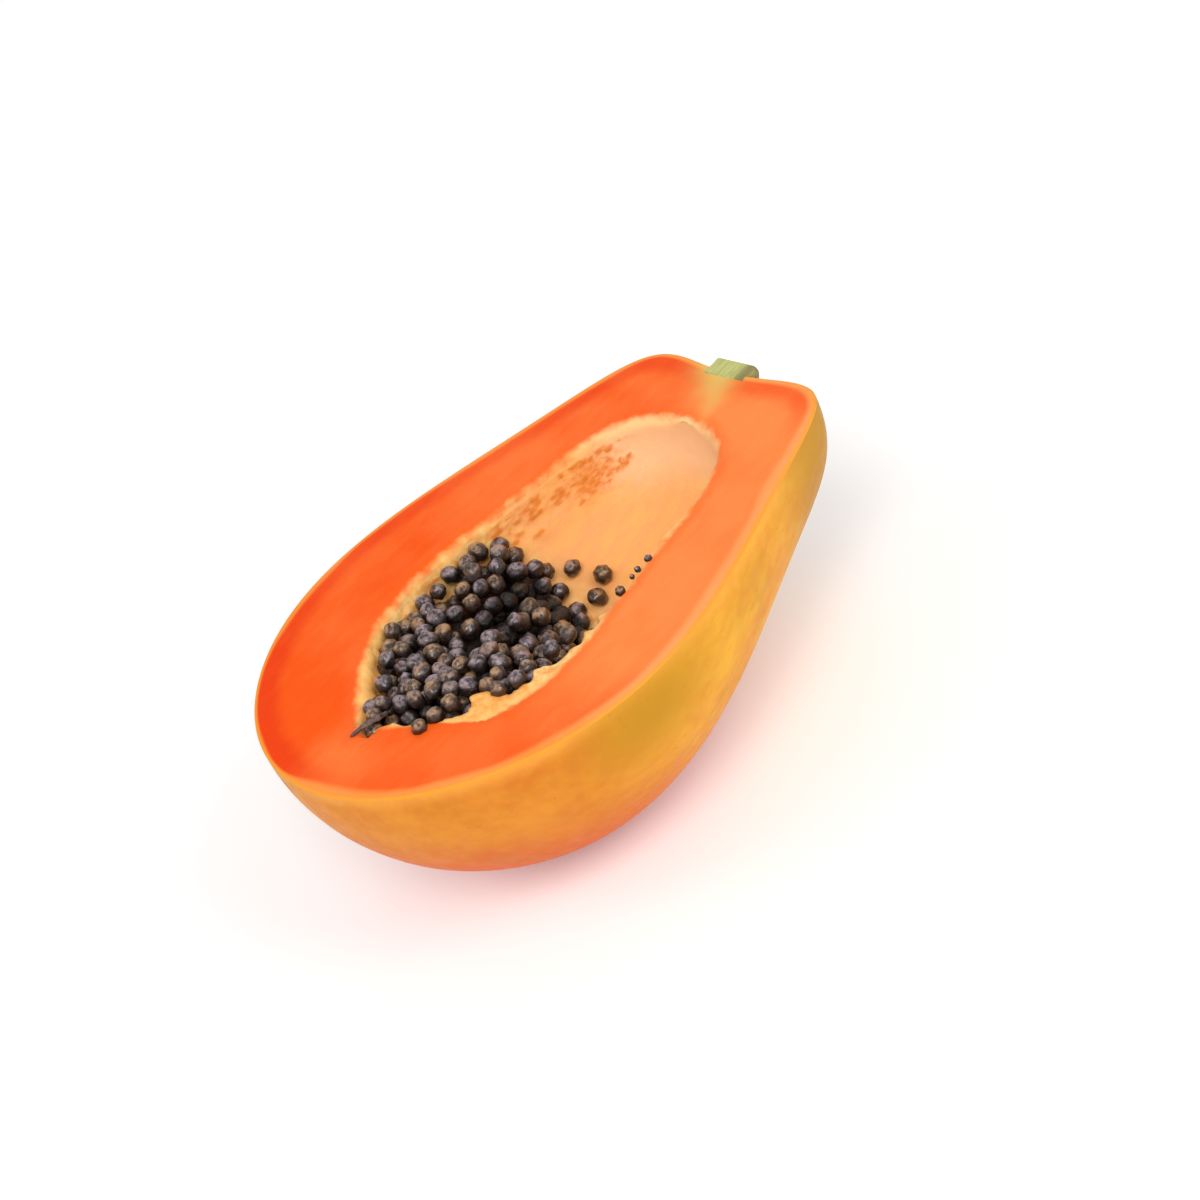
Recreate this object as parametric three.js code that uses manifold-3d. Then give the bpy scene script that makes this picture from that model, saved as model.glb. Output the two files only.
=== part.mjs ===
// A pear-shaped papaya cut in half lengthwise, lying on its back with the cut face level.
// Millimetres, +Z up. +X runs from the blossom end to the stem end, and the origin is under the
// middle of the piece, on the surface it rests on.
//
// The fruit is a solid of revolution about its own axis, which lies in the cut face. All shapes
// are first made about that axis, with the cut face at z = 0, and lifted onto the floor at the end.

import * as THREE from 'three';
import { mergeVertices } from 'three/addons/utils/BufferGeometryUtils.js';
import Module from 'manifold-3d';

const wasm = await Module();
wasm.setup();

// ---- Driving dimensions ----

// Outer shape. The profile is walked by an angle u, from 0 at the blossom tip to PI at the stem.
const FRUIT_HALF_LENGTH = 96.9;   // half the length, before the stem end is pressed in
const FRUIT_RADIUS = 67.4;        // radius that the swelling terms multiply
const FRUIT_SWELLING = [0.0965, 0.078, -0.084, 0.0235]; // pear taper, blunt ends, shoulders, belly
const STEM_HOLLOW_DEPTH = 17.8;   // how far the stem end is pressed in on the axis
const STEM_HOLLOW_SPREAD = 0.457; // how wide it is pressed in, in radians of u
const RIB_COUNT = 5;              // a papaya is faintly five-sided
const RIB_HEIGHT = 0.006;         // share of the radius
const REST_FLAT_DEPTH = 2.2;      // the small flat that the half rests on

// Seed cavity, with the pale lining left on the flesh.
const CAVITY_BLOSSOM_X = -75.0;
const CAVITY_STEM_X = 57.6;
const CAVITY_RADIUS = 34.7;
const CAVITY_SWELLING = [-0.148, 0.021, -0.098, 0.012, 0.028];
const CAVITY_LEAN = 4.6;          // the pointed end swings this far towards -Y
const CAVITY_LEAN_X = -61;
const CAVITY_LEAN_LENGTH = 15;
const LIP_WIDTH = 4.4;            // the soft lining hangs in over the rim by this much on the -Y side
const LIP_X = [-74, -64, -54, -42]; // it widens over the first two and narrows over the last two
const LIP_SHARE = [0.2, 0.85];    // from low on the wall, where it starts, to just under the rim

// Stem stub, halved with the fruit.
const STEM_RADIUS = 8.7;
const STEM_BASE_X = 77.4;
const STEM_END_X = 83.5;
const STEM_OFFSET_Y = 1.8;
const STEM_WAIST = 0.07;          // how much slimmer the stub is half way, as a share of its radius
const STEM_EDGE_ROUND = 1.2;

// Seeds, as one solid out to the uneven outline of the heap. Heights are above the cut face.
const HEAP_NEAR_HEIGHT = 1.5;     // the bank of seeds along -Y stands a little over the cut
const HEAP_FAR_HEIGHT = -3.0;     // the one along +Y lies lower on the wall
const HEAP_BANKS_Y = [-12, 20];   // where the near bank ends and the far bank begins
const HEAP_VALLEY_DEPTH = 14.0;   // the hollow between the two banks
const HEAP_VALLEY_Y = [1, 11];    // its middle, first at the blossom end and then further on
const HEAP_VALLEY_TURNS_X = [-46, -6]; // where it moves over from the one to the other
const HEAP_VALLEY_HALF_WIDTH = 8.5;
const HEAP_VALLEY_X = [-54, -22]; // it opens between these, going towards the stem
const HEAP_FRONT_X = [-40, 2];    // where the heap starts to fall away, on the near and far side
const HEAP_FRONT_Y = [-20, 20];   // those two sides
const HEAP_FRONT_SLOPE = 1.2;
const HEAP_BUMP_HEIGHT = 1.0;
const HEAP_BUMP_PITCH = 9.2;
const HEAP_WAFFLES = [            // bumps where two waves cross: share of the height, directions
  { share: 0.6, first: [1, 0.4], second: [-0.3, 1] },
  { share: 0.4, first: [0.4, -0.5], second: [0.3, 0.6] },
];
const HEAP_GRID = 2.5;

const GAP = 0.35;                 // clearance between neighbouring pieces

// Facets.
const FRUIT_FACETS = { along: 54, around: 76 };
const CAVITY_FACETS = { along: 36, around: 48 };
const STEM_FACETS = { along: 6, around: 24 };

// ---- Helpers ----

const smoothstep = THREE.MathUtils.smoothstep;
const lerp = THREE.MathUtils.lerp;

// 1 + a cos u + b cos 2u + ... : how far the plain oval is swollen or drawn in at the angle u.
function swelling(terms, u) {
  return terms.reduce((sum, term, i) => sum + term * Math.cos((i + 1) * u), 1);
}

// A closed geometry becomes a solid that can be joined and cut.
function toSolid(geometry) {
  const bare = geometry.clone();
  bare.deleteAttribute('normal');
  bare.deleteAttribute('uv');
  const merged = mergeVertices(bare);
  const index = merged.index.array;
  const triangles = [];
  for (let i = 0; i < index.length; i += 3) {
    const [a, b, c] = index.slice(i, i + 3);
    const isRealTriangle = a !== b && b !== c && c !== a;
    if (isRealTriangle) triangles.push(a, b, c);
  }
  return new wasm.Manifold(new wasm.Mesh({
    numProp: 3,
    vertProperties: merged.attributes.position.array,
    triVerts: new Uint32Array(triangles),
  }));
}

function toGeometry(solid) {
  const { vertProperties, triVerts } = solid.getMesh();
  const geometry = new THREE.BufferGeometry();
  geometry.setAttribute('position', new THREE.BufferAttribute(vertProperties, 3));
  geometry.setIndex(new THREE.BufferAttribute(triVerts, 1));
  geometry.computeVertexNormals();
  return geometry;
}

// Turns a profile about the X axis. profile(t) gives { x, r } for t from 0 to 1, r = 0 at both ends.
function turned(profile, facets) {
  const points = [];
  for (let i = 0; i <= facets.along; i += 1) {
    const { x, r } = profile(i / facets.along);
    const isTip = i === 0 || i === facets.along;
    points.push(new THREE.Vector2(isTip ? 0 : r, x));
  }
  const geometry = new THREE.LatheGeometry(points, facets.around);
  geometry.rotateZ(-Math.PI / 2);
  return geometry;
}

// Moves every corner of a geometry: move(point) changes the point in place.
function reshaped(geometry, move) {
  const position = geometry.attributes.position;
  const point = new THREE.Vector3();
  for (let i = 0; i < position.count; i += 1) {
    point.fromBufferAttribute(position, i);
    move(point);
    position.setXYZ(i, point.x, point.y, point.z);
  }
  return geometry;
}

// A block given by its lowest and highest corners.
function block(low, high) {
  const size = new THREE.Vector3().subVectors(high, low);
  const middle = new THREE.Vector3().addVectors(low, high).multiplyScalar(0.5);
  const geometry = new THREE.BoxGeometry(size.x, size.y, size.z);
  geometry.translate(middle.x, middle.y, middle.z);
  return toSolid(geometry);
}

// ---- Fruit ----

function fruitProfile(t) {
  const u = Math.PI * t;
  const pressedIn = STEM_HOLLOW_DEPTH * Math.exp(-(((Math.PI - u) / STEM_HOLLOW_SPREAD) ** 2));
  const x = -FRUIT_HALF_LENGTH * Math.cos(u) - pressedIn;
  const r = FRUIT_RADIUS * Math.sin(u) * swelling(FRUIT_SWELLING, u);
  return { x, r };
}

// Five faint ribs run the length of the fruit, one of them down the middle of its back.
function ribbed(point) {
  const angle = Math.atan2(point.y, -point.z);
  const scale = 1 + RIB_HEIGHT * Math.cos(RIB_COUNT * angle);
  point.y *= scale;
  point.z *= scale;
}

function cavityProfile(t, clearance) {
  const v = Math.PI * t;
  const middle = (CAVITY_BLOSSOM_X + CAVITY_STEM_X) / 2;
  const halfLength = (CAVITY_STEM_X - CAVITY_BLOSSOM_X) / 2 - clearance;
  const x = middle - halfLength * Math.cos(v);
  const r = (CAVITY_RADIUS - clearance) * Math.sin(v) * swelling(CAVITY_SWELLING, v);
  return { x, r };
}

// How far the lip moves a point of the wall. It is widest at the rim and ends lower down.
function lipReach({ x, y, z }) {
  const [widens, wide, narrows, ended] = LIP_X;
  const width = LIP_WIDTH * smoothstep(x, widens, wide) * (1 - smoothstep(x, narrows, ended));
  const shareToRim = -y / Math.max(Math.hypot(y, z), 1e-9);
  return width * smoothstep(shareToRim, ...LIP_SHARE);
}

// The whole cavity of the uncut fruit, drawn in by a clearance.
function makeCavity(clearance) {
  const geometry = turned((t) => cavityProfile(t, clearance), CAVITY_FACETS);
  return toSolid(reshaped(geometry, (point) => {
    const fromLean = (point.x - CAVITY_LEAN_X) / CAVITY_LEAN_LENGTH;
    point.y += lipReach(point) - CAVITY_LEAN * Math.exp(-(fromLean ** 2));
  }));
}

const widest = Math.max(...Array.from({ length: FRUIT_FACETS.along }, (_, i) => (
  fruitProfile(i / FRUIT_FACETS.along).r
)));
const FLOOR_Z = -widest * (1 + RIB_HEIGHT) + REST_FLAT_DEPTH; // floor, below the cut face
const REACH = 2 * FRUIT_HALF_LENGTH;                          // larger than the fruit all round

// Everything between the floor and the cut face.
function makeSlab() {
  return block(new THREE.Vector3(-REACH, -REACH, FLOOR_Z), new THREE.Vector3(REACH, REACH, 0));
}

function makeFruitHalf() {
  const whole = toSolid(reshaped(turned(fruitProfile, FRUIT_FACETS), ribbed));
  return whole.intersect(makeSlab()).subtract(makeCavity(0)).subtract(makeWholeStem(GAP));
}

// ---- Stem stub ----

// A short stalk with a slight waist and rounded ends, grown by a clearance.
function stemProfile(t, clearance) {
  const middle = (STEM_BASE_X + STEM_END_X) / 2;
  const halfLength = (STEM_END_X - STEM_BASE_X) / 2 + clearance;
  const along = 2 * t - 1;
  const x = middle + halfLength * Math.sign(along) * Math.sqrt(Math.abs(along));
  const waist = 1 - STEM_WAIST * Math.cos((x - middle) / halfLength * Math.PI / 2);
  const toEnd = Math.max(0, Math.abs(x - middle) - (halfLength - STEM_EDGE_ROUND));
  const rounding = STEM_EDGE_ROUND - Math.sqrt(Math.max(0, STEM_EDGE_ROUND ** 2 - toEnd ** 2));
  return { x, r: STEM_RADIUS * waist + clearance - rounding };
}

function makeWholeStem(clearance) {
  const geometry = turned((t) => stemProfile(t, clearance), STEM_FACETS);
  geometry.translate(0, STEM_OFFSET_Y, 0);
  return toSolid(geometry);
}

function makeStemStub() {
  return makeWholeStem(0).intersect(makeSlab());
}

// ---- Seed heap ----

// Uneven bumps, from -1 to 1.
function heapBumps(x, y) {
  const turn = 2 * Math.PI / HEAP_BUMP_PITCH;
  const wave = ([alongX, alongY]) => Math.sin(turn * (alongX * x + alongY * y));
  return HEAP_WAFFLES.reduce((sum, waffle) => (
    sum + waffle.share * wave(waffle.first) * wave(waffle.second)
  ), 0);
}

// Height of the top of the heap above the cut face.
function heapTop(x, y) {
  const banks = lerp(HEAP_NEAR_HEIGHT, HEAP_FAR_HEIGHT, smoothstep(y, ...HEAP_BANKS_Y));
  const valleyY = lerp(...HEAP_VALLEY_Y, smoothstep(x, ...HEAP_VALLEY_TURNS_X));
  const fromValley = (y - valleyY) / HEAP_VALLEY_HALF_WIDTH;
  const valleyDepth = HEAP_VALLEY_DEPTH * smoothstep(x, ...HEAP_VALLEY_X);
  const valley = valleyDepth * Math.exp(-(fromValley ** 2));
  const frontX = lerp(...HEAP_FRONT_X, smoothstep(y, ...HEAP_FRONT_Y));
  const front = HEAP_FRONT_SLOPE * Math.max(0, x - frontX);
  return banks - valley - front + HEAP_BUMP_HEIGHT * heapBumps(x, y);
}

// The cavity filled up to that height.
function makeSeedHeap() {
  const low = new THREE.Vector2(CAVITY_BLOSSOM_X, -CAVITY_RADIUS - CAVITY_LEAN);
  const high = new THREE.Vector2(CAVITY_STEM_X, CAVITY_RADIUS + CAVITY_LEAN);
  const size = new THREE.Vector2().subVectors(high, low);
  const cellsX = Math.round(size.x / HEAP_GRID);
  const cellsY = Math.round(size.y / HEAP_GRID);
  const depth = 2 * CAVITY_RADIUS;
  const geometry = new THREE.BoxGeometry(size.x, size.y, depth, cellsX, cellsY, 1);
  geometry.translate(low.x + size.x / 2, low.y + size.y / 2, -depth / 2);
  const filling = reshaped(geometry, (point) => {
    const isTop = point.z > -depth / 2;
    if (isTop) point.z = heapTop(point.x, point.y);
  });
  return toSolid(filling).intersect(makeCavity(GAP));
}

// ---- Assembly ----

const SHIFT_X = (FRUIT_HALF_LENGTH - STEM_END_X) / 2; // centres the piece over the origin

function piece(name, solid, look) {
  const mesh = new THREE.Mesh(toGeometry(solid), new THREE.MeshStandardMaterial(look));
  mesh.name = name;
  return mesh;
}

const papayaHalf = new THREE.Group();
papayaHalf.position.set(SHIFT_X, 0, -FLOOR_Z);
papayaHalf.add(
  piece('fruit_half', makeFruitHalf(), { color: 0xf97a2c, roughness: 0.45, metalness: 0 }),
  piece('stem_stub', makeStemStub(), { color: 0xa9b46a, roughness: 0.8, metalness: 0 }),
  piece('seed_heap', makeSeedHeap(), { color: 0x2b211c, roughness: 0.4, metalness: 0 }),
);

export default papayaHalf;
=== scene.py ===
# %% [markdown]
# # A papaya half
# A ripe papaya, cut lengthwise, lies on its back. It is one piece of fruit with several very
# different surfaces: a thin waxy rind, a wet cut face, a soft fibrous lining around the seed
# cavity, a heap of wet black seeds, and half of the dry stalk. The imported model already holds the
# right sizes, so it is loaded first, and everything below is made around it. All shapes are
# worked out in millimetres about the fruit's own long axis, and moved onto the floor when the
# mesh is made, because that is how a grower would measure a fruit.

import itertools
import math

import bmesh
import bpy
import numpy as np
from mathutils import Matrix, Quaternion, Vector


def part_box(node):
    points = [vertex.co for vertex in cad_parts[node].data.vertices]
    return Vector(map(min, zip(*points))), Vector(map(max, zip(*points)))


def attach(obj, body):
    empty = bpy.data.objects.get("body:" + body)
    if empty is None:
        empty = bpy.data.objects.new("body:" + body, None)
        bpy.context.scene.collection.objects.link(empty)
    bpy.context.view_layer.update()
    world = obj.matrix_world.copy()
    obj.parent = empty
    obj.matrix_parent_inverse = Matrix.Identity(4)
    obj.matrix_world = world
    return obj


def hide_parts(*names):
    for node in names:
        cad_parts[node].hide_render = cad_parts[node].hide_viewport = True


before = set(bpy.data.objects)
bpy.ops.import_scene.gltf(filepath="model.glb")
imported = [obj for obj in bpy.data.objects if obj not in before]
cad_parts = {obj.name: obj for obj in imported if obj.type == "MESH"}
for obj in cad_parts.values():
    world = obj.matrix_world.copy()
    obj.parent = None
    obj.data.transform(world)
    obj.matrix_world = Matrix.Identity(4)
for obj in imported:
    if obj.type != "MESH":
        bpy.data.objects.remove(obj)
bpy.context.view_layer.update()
_, fruit_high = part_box("fruit_half")
_, stem_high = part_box("stem_stub")

MM = 0.001
STEM_END_X = 83.5       # the stalk's outer end, from the middle of the fruit
CUT_HEIGHT = fruit_high.z / MM
TO_FLOOR = np.array([stem_high.x / MM - STEM_END_X, 0.0, CUT_HEIGHT])
print("cut face", round(CUT_HEIGHT, 2), "mm above the floor; axis moved by", TO_FLOOR.round(2))

# %% [markdown]
# ## Camera
# A small object is best seen from some way off through a long lens, so that it keeps its true
# proportions. The camera looks down on the cut face from the near side of the blossom end, and
# it is rolled, so that the fruit stands up steeply across the picture. A direction, a distance
# and a roll say all this more plainly than nine numbers of a matrix would.

# %% Camera
CAMERA_AZIMUTH = math.radians(-30.8)
CAMERA_ELEVATION = math.radians(33.91)
CAMERA_ROLL = math.radians(-26.77)
CAMERA_DISTANCE = 1.35
CAMERA_AIM = Vector((0.00775, -0.0117, 0.0510))
CAMERA_LENS = 150


def direction(azimuth, elevation):
    """A unit vector. Azimuth 0 is in front of the fruit, on its near long side."""
    level = math.cos(elevation)
    return Vector((math.sin(azimuth) * level, -math.cos(azimuth) * level, math.sin(elevation)))


camera = bpy.data.objects.new("camera", bpy.data.cameras.new("camera"))
bpy.context.scene.collection.objects.link(camera)
camera.data.lens = CAMERA_LENS
camera.rotation_mode = "QUATERNION"
to_camera = direction(CAMERA_AZIMUTH, CAMERA_ELEVATION)
camera.location = CAMERA_AIM + CAMERA_DISTANCE * to_camera
camera.rotation_quaternion = to_camera.to_track_quat("Z", "Y") @ Quaternion((0, 0, 1), CAMERA_ROLL)
bpy.context.scene.camera = camera
bpy.context.scene.view_settings.view_transform = "Standard"
print("camera at", [round(v, 3) for v in camera.location])

# %% [markdown]
# ## Light
# Fruit looks natural in a white tent: light comes from all sides, and softboxes make some sides a
# little brighter. The main lamp stands beside the camera, towards the blossom end, and a fill lamp
# stands on its other side. A weaker one behind the blossom end reaches the wall at the cavity's
# stalk end. A small lamp opposite the camera lays a faint sheen on the wet cut face, which lies
# at the right tilt to mirror it.

# %% Softboxes and surroundings
SURROUNDINGS_STRENGTH = 0.54


def add_softbox(name, azimuth, elevation, distance, size, watts):
    """A square lamp that faces the fruit from that direction. Angles are in degrees."""
    lamp = bpy.data.lights.new(name, "AREA")
    lamp.shape = "SQUARE"
    lamp.size = size
    lamp.energy = watts
    towards = direction(math.radians(azimuth), math.radians(elevation))
    softbox = bpy.data.objects.new(name, lamp)
    softbox.rotation_mode = "QUATERNION"
    softbox.rotation_quaternion = towards.to_track_quat("Z", "Y")
    softbox.location = CAMERA_AIM + distance * towards
    softbox.visible_camera = False
    bpy.context.scene.collection.objects.link(softbox)


add_softbox("main_softbox", azimuth=-40, elevation=47, distance=2.6, size=1.1, watts=29)
add_softbox("fill_softbox", azimuth=14, elevation=42, distance=2.6, size=1.1, watts=15)
add_softbox("back_softbox", azimuth=-128, elevation=38, distance=2.6, size=1.1, watts=9)
add_softbox("sheen_softbox", azimuth=135, elevation=40, distance=1.6, size=0.6, watts=1.2)

world = bpy.data.worlds.new("white_tent")
world.use_nodes = True
tent = world.node_tree.nodes["Background"]
tent.inputs["Color"].default_value = (1, 1, 1, 1)
tent.inputs["Strength"].default_value = SURROUNDINGS_STRENGTH
bpy.context.scene.world = world

# %% [markdown]
# ## Meshes from rows of points
# Every surface here is a net of points in rows and columns, as the skin of a fruit could be
# marked out in meridians and rings. Building such a net with numpy is quick, and the edge of one
# net can be the edge of the next, so that rind, cut face and cavity make one closed skin.


# %% Meshes from rows of points
def net_faces(numbers, wraps=False):
    """Four-cornered faces between the neighbouring rows and columns of a table of point numbers."""
    if wraps:
        numbers = np.hstack([numbers, numbers[:, :1]])
    return np.stack(
        [numbers[:-1, :-1], numbers[:-1, 1:], numbers[1:, 1:], numbers[1:, :-1]], axis=-1
    ).reshape(-1, 4)


def add_mesh(name, points, faces, materials, face_materials=None, values=None):
    """A smooth-shaded object from points in millimetres about the fruit's axis.
    values are named numbers on the points, which the materials read."""
    mesh = bpy.data.meshes.new(name)
    corners = [tuple(dict.fromkeys(face)) for face in faces.tolist()]
    kept = [i for i, face in enumerate(corners) if len(face) > 2]
    mesh.from_pydata(((points + TO_FLOOR) * MM).tolist(), [], [corners[i] for i in kept])
    for material in materials:
        mesh.materials.append(material)
    if face_materials is not None:
        mesh.polygons.foreach_set("material_index", face_materials[kept].astype(np.int32))
    for value_name, numbers in (values or {}).items():
        attribute = mesh.attributes.new(value_name, "FLOAT", "POINT")
        attribute.data.foreach_set("value", numbers.astype(np.float32))
    mesh.polygons.foreach_set("use_smooth", np.ones(len(kept), bool))
    mesh.update()
    made = bpy.data.objects.new(name, mesh)
    bpy.context.scene.collection.objects.link(made)
    triangles = sum(len(corners[i]) - 2 for i in kept)
    print(name, "has", triangles, "triangles, size in mm", (np.ptp(points, axis=0)).round(1))
    return made


def smoothstep(value, low, high):
    """0 below low, 1 above high, and a soft rise between them. low may be the larger."""
    part = np.clip((value - low) / (high - low), 0, 1)
    return part * part * (3 - 2 * part)


print("a net of 3 by 4 points has", len(net_faces(np.arange(12).reshape(3, 4))), "faces")

# %% [markdown]
# ## Unevenness
# Nothing that grew is perfectly smooth. Random numbers on a coarse lattice, blended softly
# between its corners, give hills and dents of any chosen size. The random numbers start from a
# fixed seed, so the fruit comes out the same every time.

# %% Unevenness
LATTICE = 24


def uneven(points, size, seed):
    """Soft random values from -1 to 1 at each point. size is the width of a hill, in mm."""
    lattice = np.random.default_rng(seed).uniform(-1, 1, (LATTICE,) * 3)
    cell = points / size
    corner = np.floor(cell).astype(int)
    part = cell - corner
    part = part * part * (3 - 2 * part)
    total = np.zeros(points.shape[:-1])
    for step in itertools.product((0, 1), repeat=3):
        share = np.prod(np.where(step, part, 1 - part), axis=-1)
        at = (corner + step) % LATTICE
        total += share * lattice[at[..., 0], at[..., 1], at[..., 2]]
    return total


print("unevenness along a line:", uneven(np.linspace([0, 0, 0], [20, 5, 0], 6), 5.0, 1).round(2))

# %% [markdown]
# ## The outlines of fruit and cavity
# A papaya is close to a shape turned on a lathe: an oval, swollen towards the blossom end, with a
# hollow where the stalk sits. A few cosine terms swell the oval, which needs no traced curve. The
# cavity is a second, smaller oval, and its pointed end leans to one side. The sizes are those of
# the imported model, so both fit each other.

# %% The outlines of fruit and cavity
FRUIT_HALF_LENGTH = 96.9
FRUIT_RADIUS = 67.4
FRUIT_SWELLING = (0.0965, 0.078, -0.084, 0.0235)
STEM_HOLLOW_DEPTH = 17.8
STEM_HOLLOW_SPREAD = 0.457
CAVITY_BLOSSOM_X = -75.0
CAVITY_STEM_X = 57.6
CAVITY_RADIUS = 34.7
CAVITY_SWELLING = (-0.148, 0.021, -0.098, 0.012, 0.028)
CAVITY_LEAN = 4.6
CAVITY_LEAN_X = -61
CAVITY_LEAN_LENGTH = 15


def swollen(terms, angle):
    return 1 + sum(term * np.cos((i + 1) * angle) for i, term in enumerate(terms))


def fruit_outline(angle):
    """x and radius of the fruit. The angle runs from 0 at the blossom tip to pi at the stalk."""
    pressed_in = STEM_HOLLOW_DEPTH * np.exp(-(((math.pi - angle) / STEM_HOLLOW_SPREAD) ** 2))
    x = -FRUIT_HALF_LENGTH * np.cos(angle) - pressed_in
    return x, FRUIT_RADIUS * np.sin(angle) * swollen(FRUIT_SWELLING, angle)


def cavity_outline(angle):
    """x and radius of the cavity, with the angle as for the fruit."""
    middle = (CAVITY_BLOSSOM_X + CAVITY_STEM_X) / 2
    half_length = (CAVITY_STEM_X - CAVITY_BLOSSOM_X) / 2
    x = middle - half_length * np.cos(angle)
    return x, CAVITY_RADIUS * np.sin(angle) * swollen(CAVITY_SWELLING, angle)


def cavity_lean(x):
    """How far the cavity's middle line lies from the fruit's axis, towards the near side."""
    return -CAVITY_LEAN * np.exp(-(((x - CAVITY_LEAN_X) / CAVITY_LEAN_LENGTH) ** 2))


profile_x, profile_r = cavity_outline(np.linspace(0, math.pi, 400))


def cavity_radius_at(x):
    return np.interp(x, profile_x, profile_r, left=0, right=0)


print("the cavity is", round(2 * profile_r.max(), 1), "mm wide")

# %% [markdown]
# ## The soft lip on the near side
# The lining is softer than the flesh, and the knife left it hanging in over the cavity on the near
# side, in torn tongues of different lengths. Each tongue is a bell curve along the edge, and fine
# waves fray what lies between. The lip moves the points of the wall sideways, most at the rim, so
# it needs no mesh of its own.

# %% The soft lip on the near side
LIP_WIDTH = 4.4
LIP_X = (-74, -64, -54, -42)    # where the lip begins and is full, and where it narrows again
LIP_TONGUES = (                 # middle x, reach, half length
    (-70.0, 12.0, 5.0), (-59.5, 1.6, 1.6), (-52.0, 6.0, 2.0), (-49.4, 3.2, 1.3),
    (-43.6, 1.2, 1.2), (-37.6, 3.4, 1.7), (-35.2, 2.6, 1.2), (-28.0, 0.9, 1.4),
    (-21.0, 1.6, 2.2), (-14.5, 2.4, 2.0), (-9.0, 1.2, 1.5),
)
LIP_FRILLS = ((0.5, 5.7), (0.35, 3.1), (0.2, 1.7))    # height and length of each wave along the edge
LIP_LIMIT = 1.5                 # the lip never reaches further than this many radii of the cavity
LIP_HANGS = (0.2, 0.85)         # share of the way out to the rim where the lip starts and is full


def near_lip(x, share_to_rim=1.0):
    """How far the soft lining reaches in over the cavity on the near side, at the rim or below."""
    reach = LIP_WIDTH * smoothstep(x, *LIP_X[:2]) * smoothstep(x, *LIP_X[:1:-1])
    for middle_x, tongue, half_length in LIP_TONGUES:
        reach = reach + tongue * np.exp(-(((x - middle_x) / half_length) ** 2))
    for height, length in LIP_FRILLS:
        reach = reach + height * np.sin(2 * math.pi * x / length) * smoothstep(reach, 0, 2)
    reach = np.minimum(reach, LIP_LIMIT * cavity_radius_at(x))
    return reach * smoothstep(share_to_rim, *LIP_HANGS)


def lipped(x, y, radius):
    """y of a point on the cavity wall, once the lip and the lean have moved it."""
    return y + near_lip(x, -y / np.maximum(radius, 1e-9)) + cavity_lean(x)


print("the lip reaches in by up to", near_lip(np.linspace(-75, 57, 400)).max().round(1), "mm")

# %% [markdown]
# ## Half lathe shapes
# Rind, cavity and stalk are all turned shapes of which the knife left one half. Each is a net
# whose first and last rows shrink to a point, and whose edge is the outline on the cut. The edge
# starts a little below the cut, because no knife leaves a perfectly sharp corner on fruit.


# %% Half lathe shapes
def half_turned(x, radius, edge_round, steps_around):
    """Points below the cut face, in columns from the far edge round to the near edge.
    The edges start below the cut by edge_round, to leave room for a rounded corner."""
    drops = [np.minimum(side, 0.5 * radius) for side in edge_round]
    far_turn, near_turn = [np.arccos(drop / np.maximum(radius, 1e-9)) for drop in drops]
    round_share = np.linspace(0, 1, steps_around + 1)
    turn = far_turn[:, None] - round_share * (far_turn + near_turn)[:, None]
    wide = np.broadcast_to(x[:, None], turn.shape)
    return np.stack([wide, radius[:, None] * np.sin(turn), -radius[:, None] * np.cos(turn)], -1)


def turned_round(net):
    """The turn of each point about the fruit's axis, from straight down."""
    return np.arctan2(net[..., 1], -net[..., 2])


def numbered(first, rows, columns):
    """Point numbers for a net, in which the first and last rows are single points."""
    table = np.full((rows, columns), first)
    table[1:-1] = first + 1 + np.arange((rows - 2) * columns).reshape(rows - 2, columns)
    table[-1] = first + 1 + (rows - 2) * columns
    return table


def flatten_net(net):
    """The points of a net in the order of numbered()."""
    return np.vstack([net[:1, 0], net[1:-1].reshape(-1, 3), net[-1:, 0]])


def edge_loop(table):
    """The numbers round a half lathe shape's edge: out along the far side, back along the near."""
    return np.concatenate([table[:, 0], table[-2:0:-1, -1]])


print("a net of 5 rows and 4 columns has", numbered(0, 5, 4).max() + 1, "points and an edge of",
      len(edge_loop(numbered(0, 5, 4))))

# %% [markdown]
# ## Rind and cavity
# The rind's edge is rounded by less than a millimetre, and the soft rim of the cavity by more, most
# on the far side. Five faint ribs run along the rind, one for each of the five parts of which
# the fruit is grown together.

# %% Rind and cavity
STEPS_ALONG = 316
RIND_STEPS_AROUND = 84
CAVITY_STEPS_AROUND = 156
RIB_COUNT = 5
RIB_HEIGHT = 0.006                # as a share of the radius
RIND_EDGE_ROUND = (0.7, 0.7)      # on the far and the near side
CAVITY_EDGE_ROUND = (3.8, 2.2)
CAVITY_END_X = (30, 48)           # towards the stalk the near edge gets as round as the far one

angles = np.linspace(0, math.pi, STEPS_ALONG + 1)
rind_net = half_turned(*fruit_outline(angles), RIND_EDGE_ROUND, RIND_STEPS_AROUND)
rind_net[..., 1:] *= (1 + RIB_HEIGHT * np.cos(RIB_COUNT * turned_round(rind_net)))[..., None]
cavity_x, cavity_r = cavity_outline(angles)
far_round, near_round = CAVITY_EDGE_ROUND
near_round = near_round + (far_round - near_round) * smoothstep(cavity_x, *CAVITY_END_X)
cavity_net = half_turned(cavity_x, cavity_r, (far_round, near_round), CAVITY_STEPS_AROUND)
cavity_net[..., 1] = lipped(cavity_net[..., 0], cavity_net[..., 1], cavity_r[:, None])

rind_points = flatten_net(rind_net)
rind_numbers = numbered(0, *rind_net.shape[:2])
cavity_points = flatten_net(cavity_net)
cavity_numbers = numbered(len(rind_points), *cavity_net.shape[:2])
edge_points = np.vstack([rind_points, cavity_points])
first_cavity = len(rind_points)
first_cut = len(edge_points)
print(len(rind_points), "points on the rind and", len(cavity_points), "in the cavity")

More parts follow.
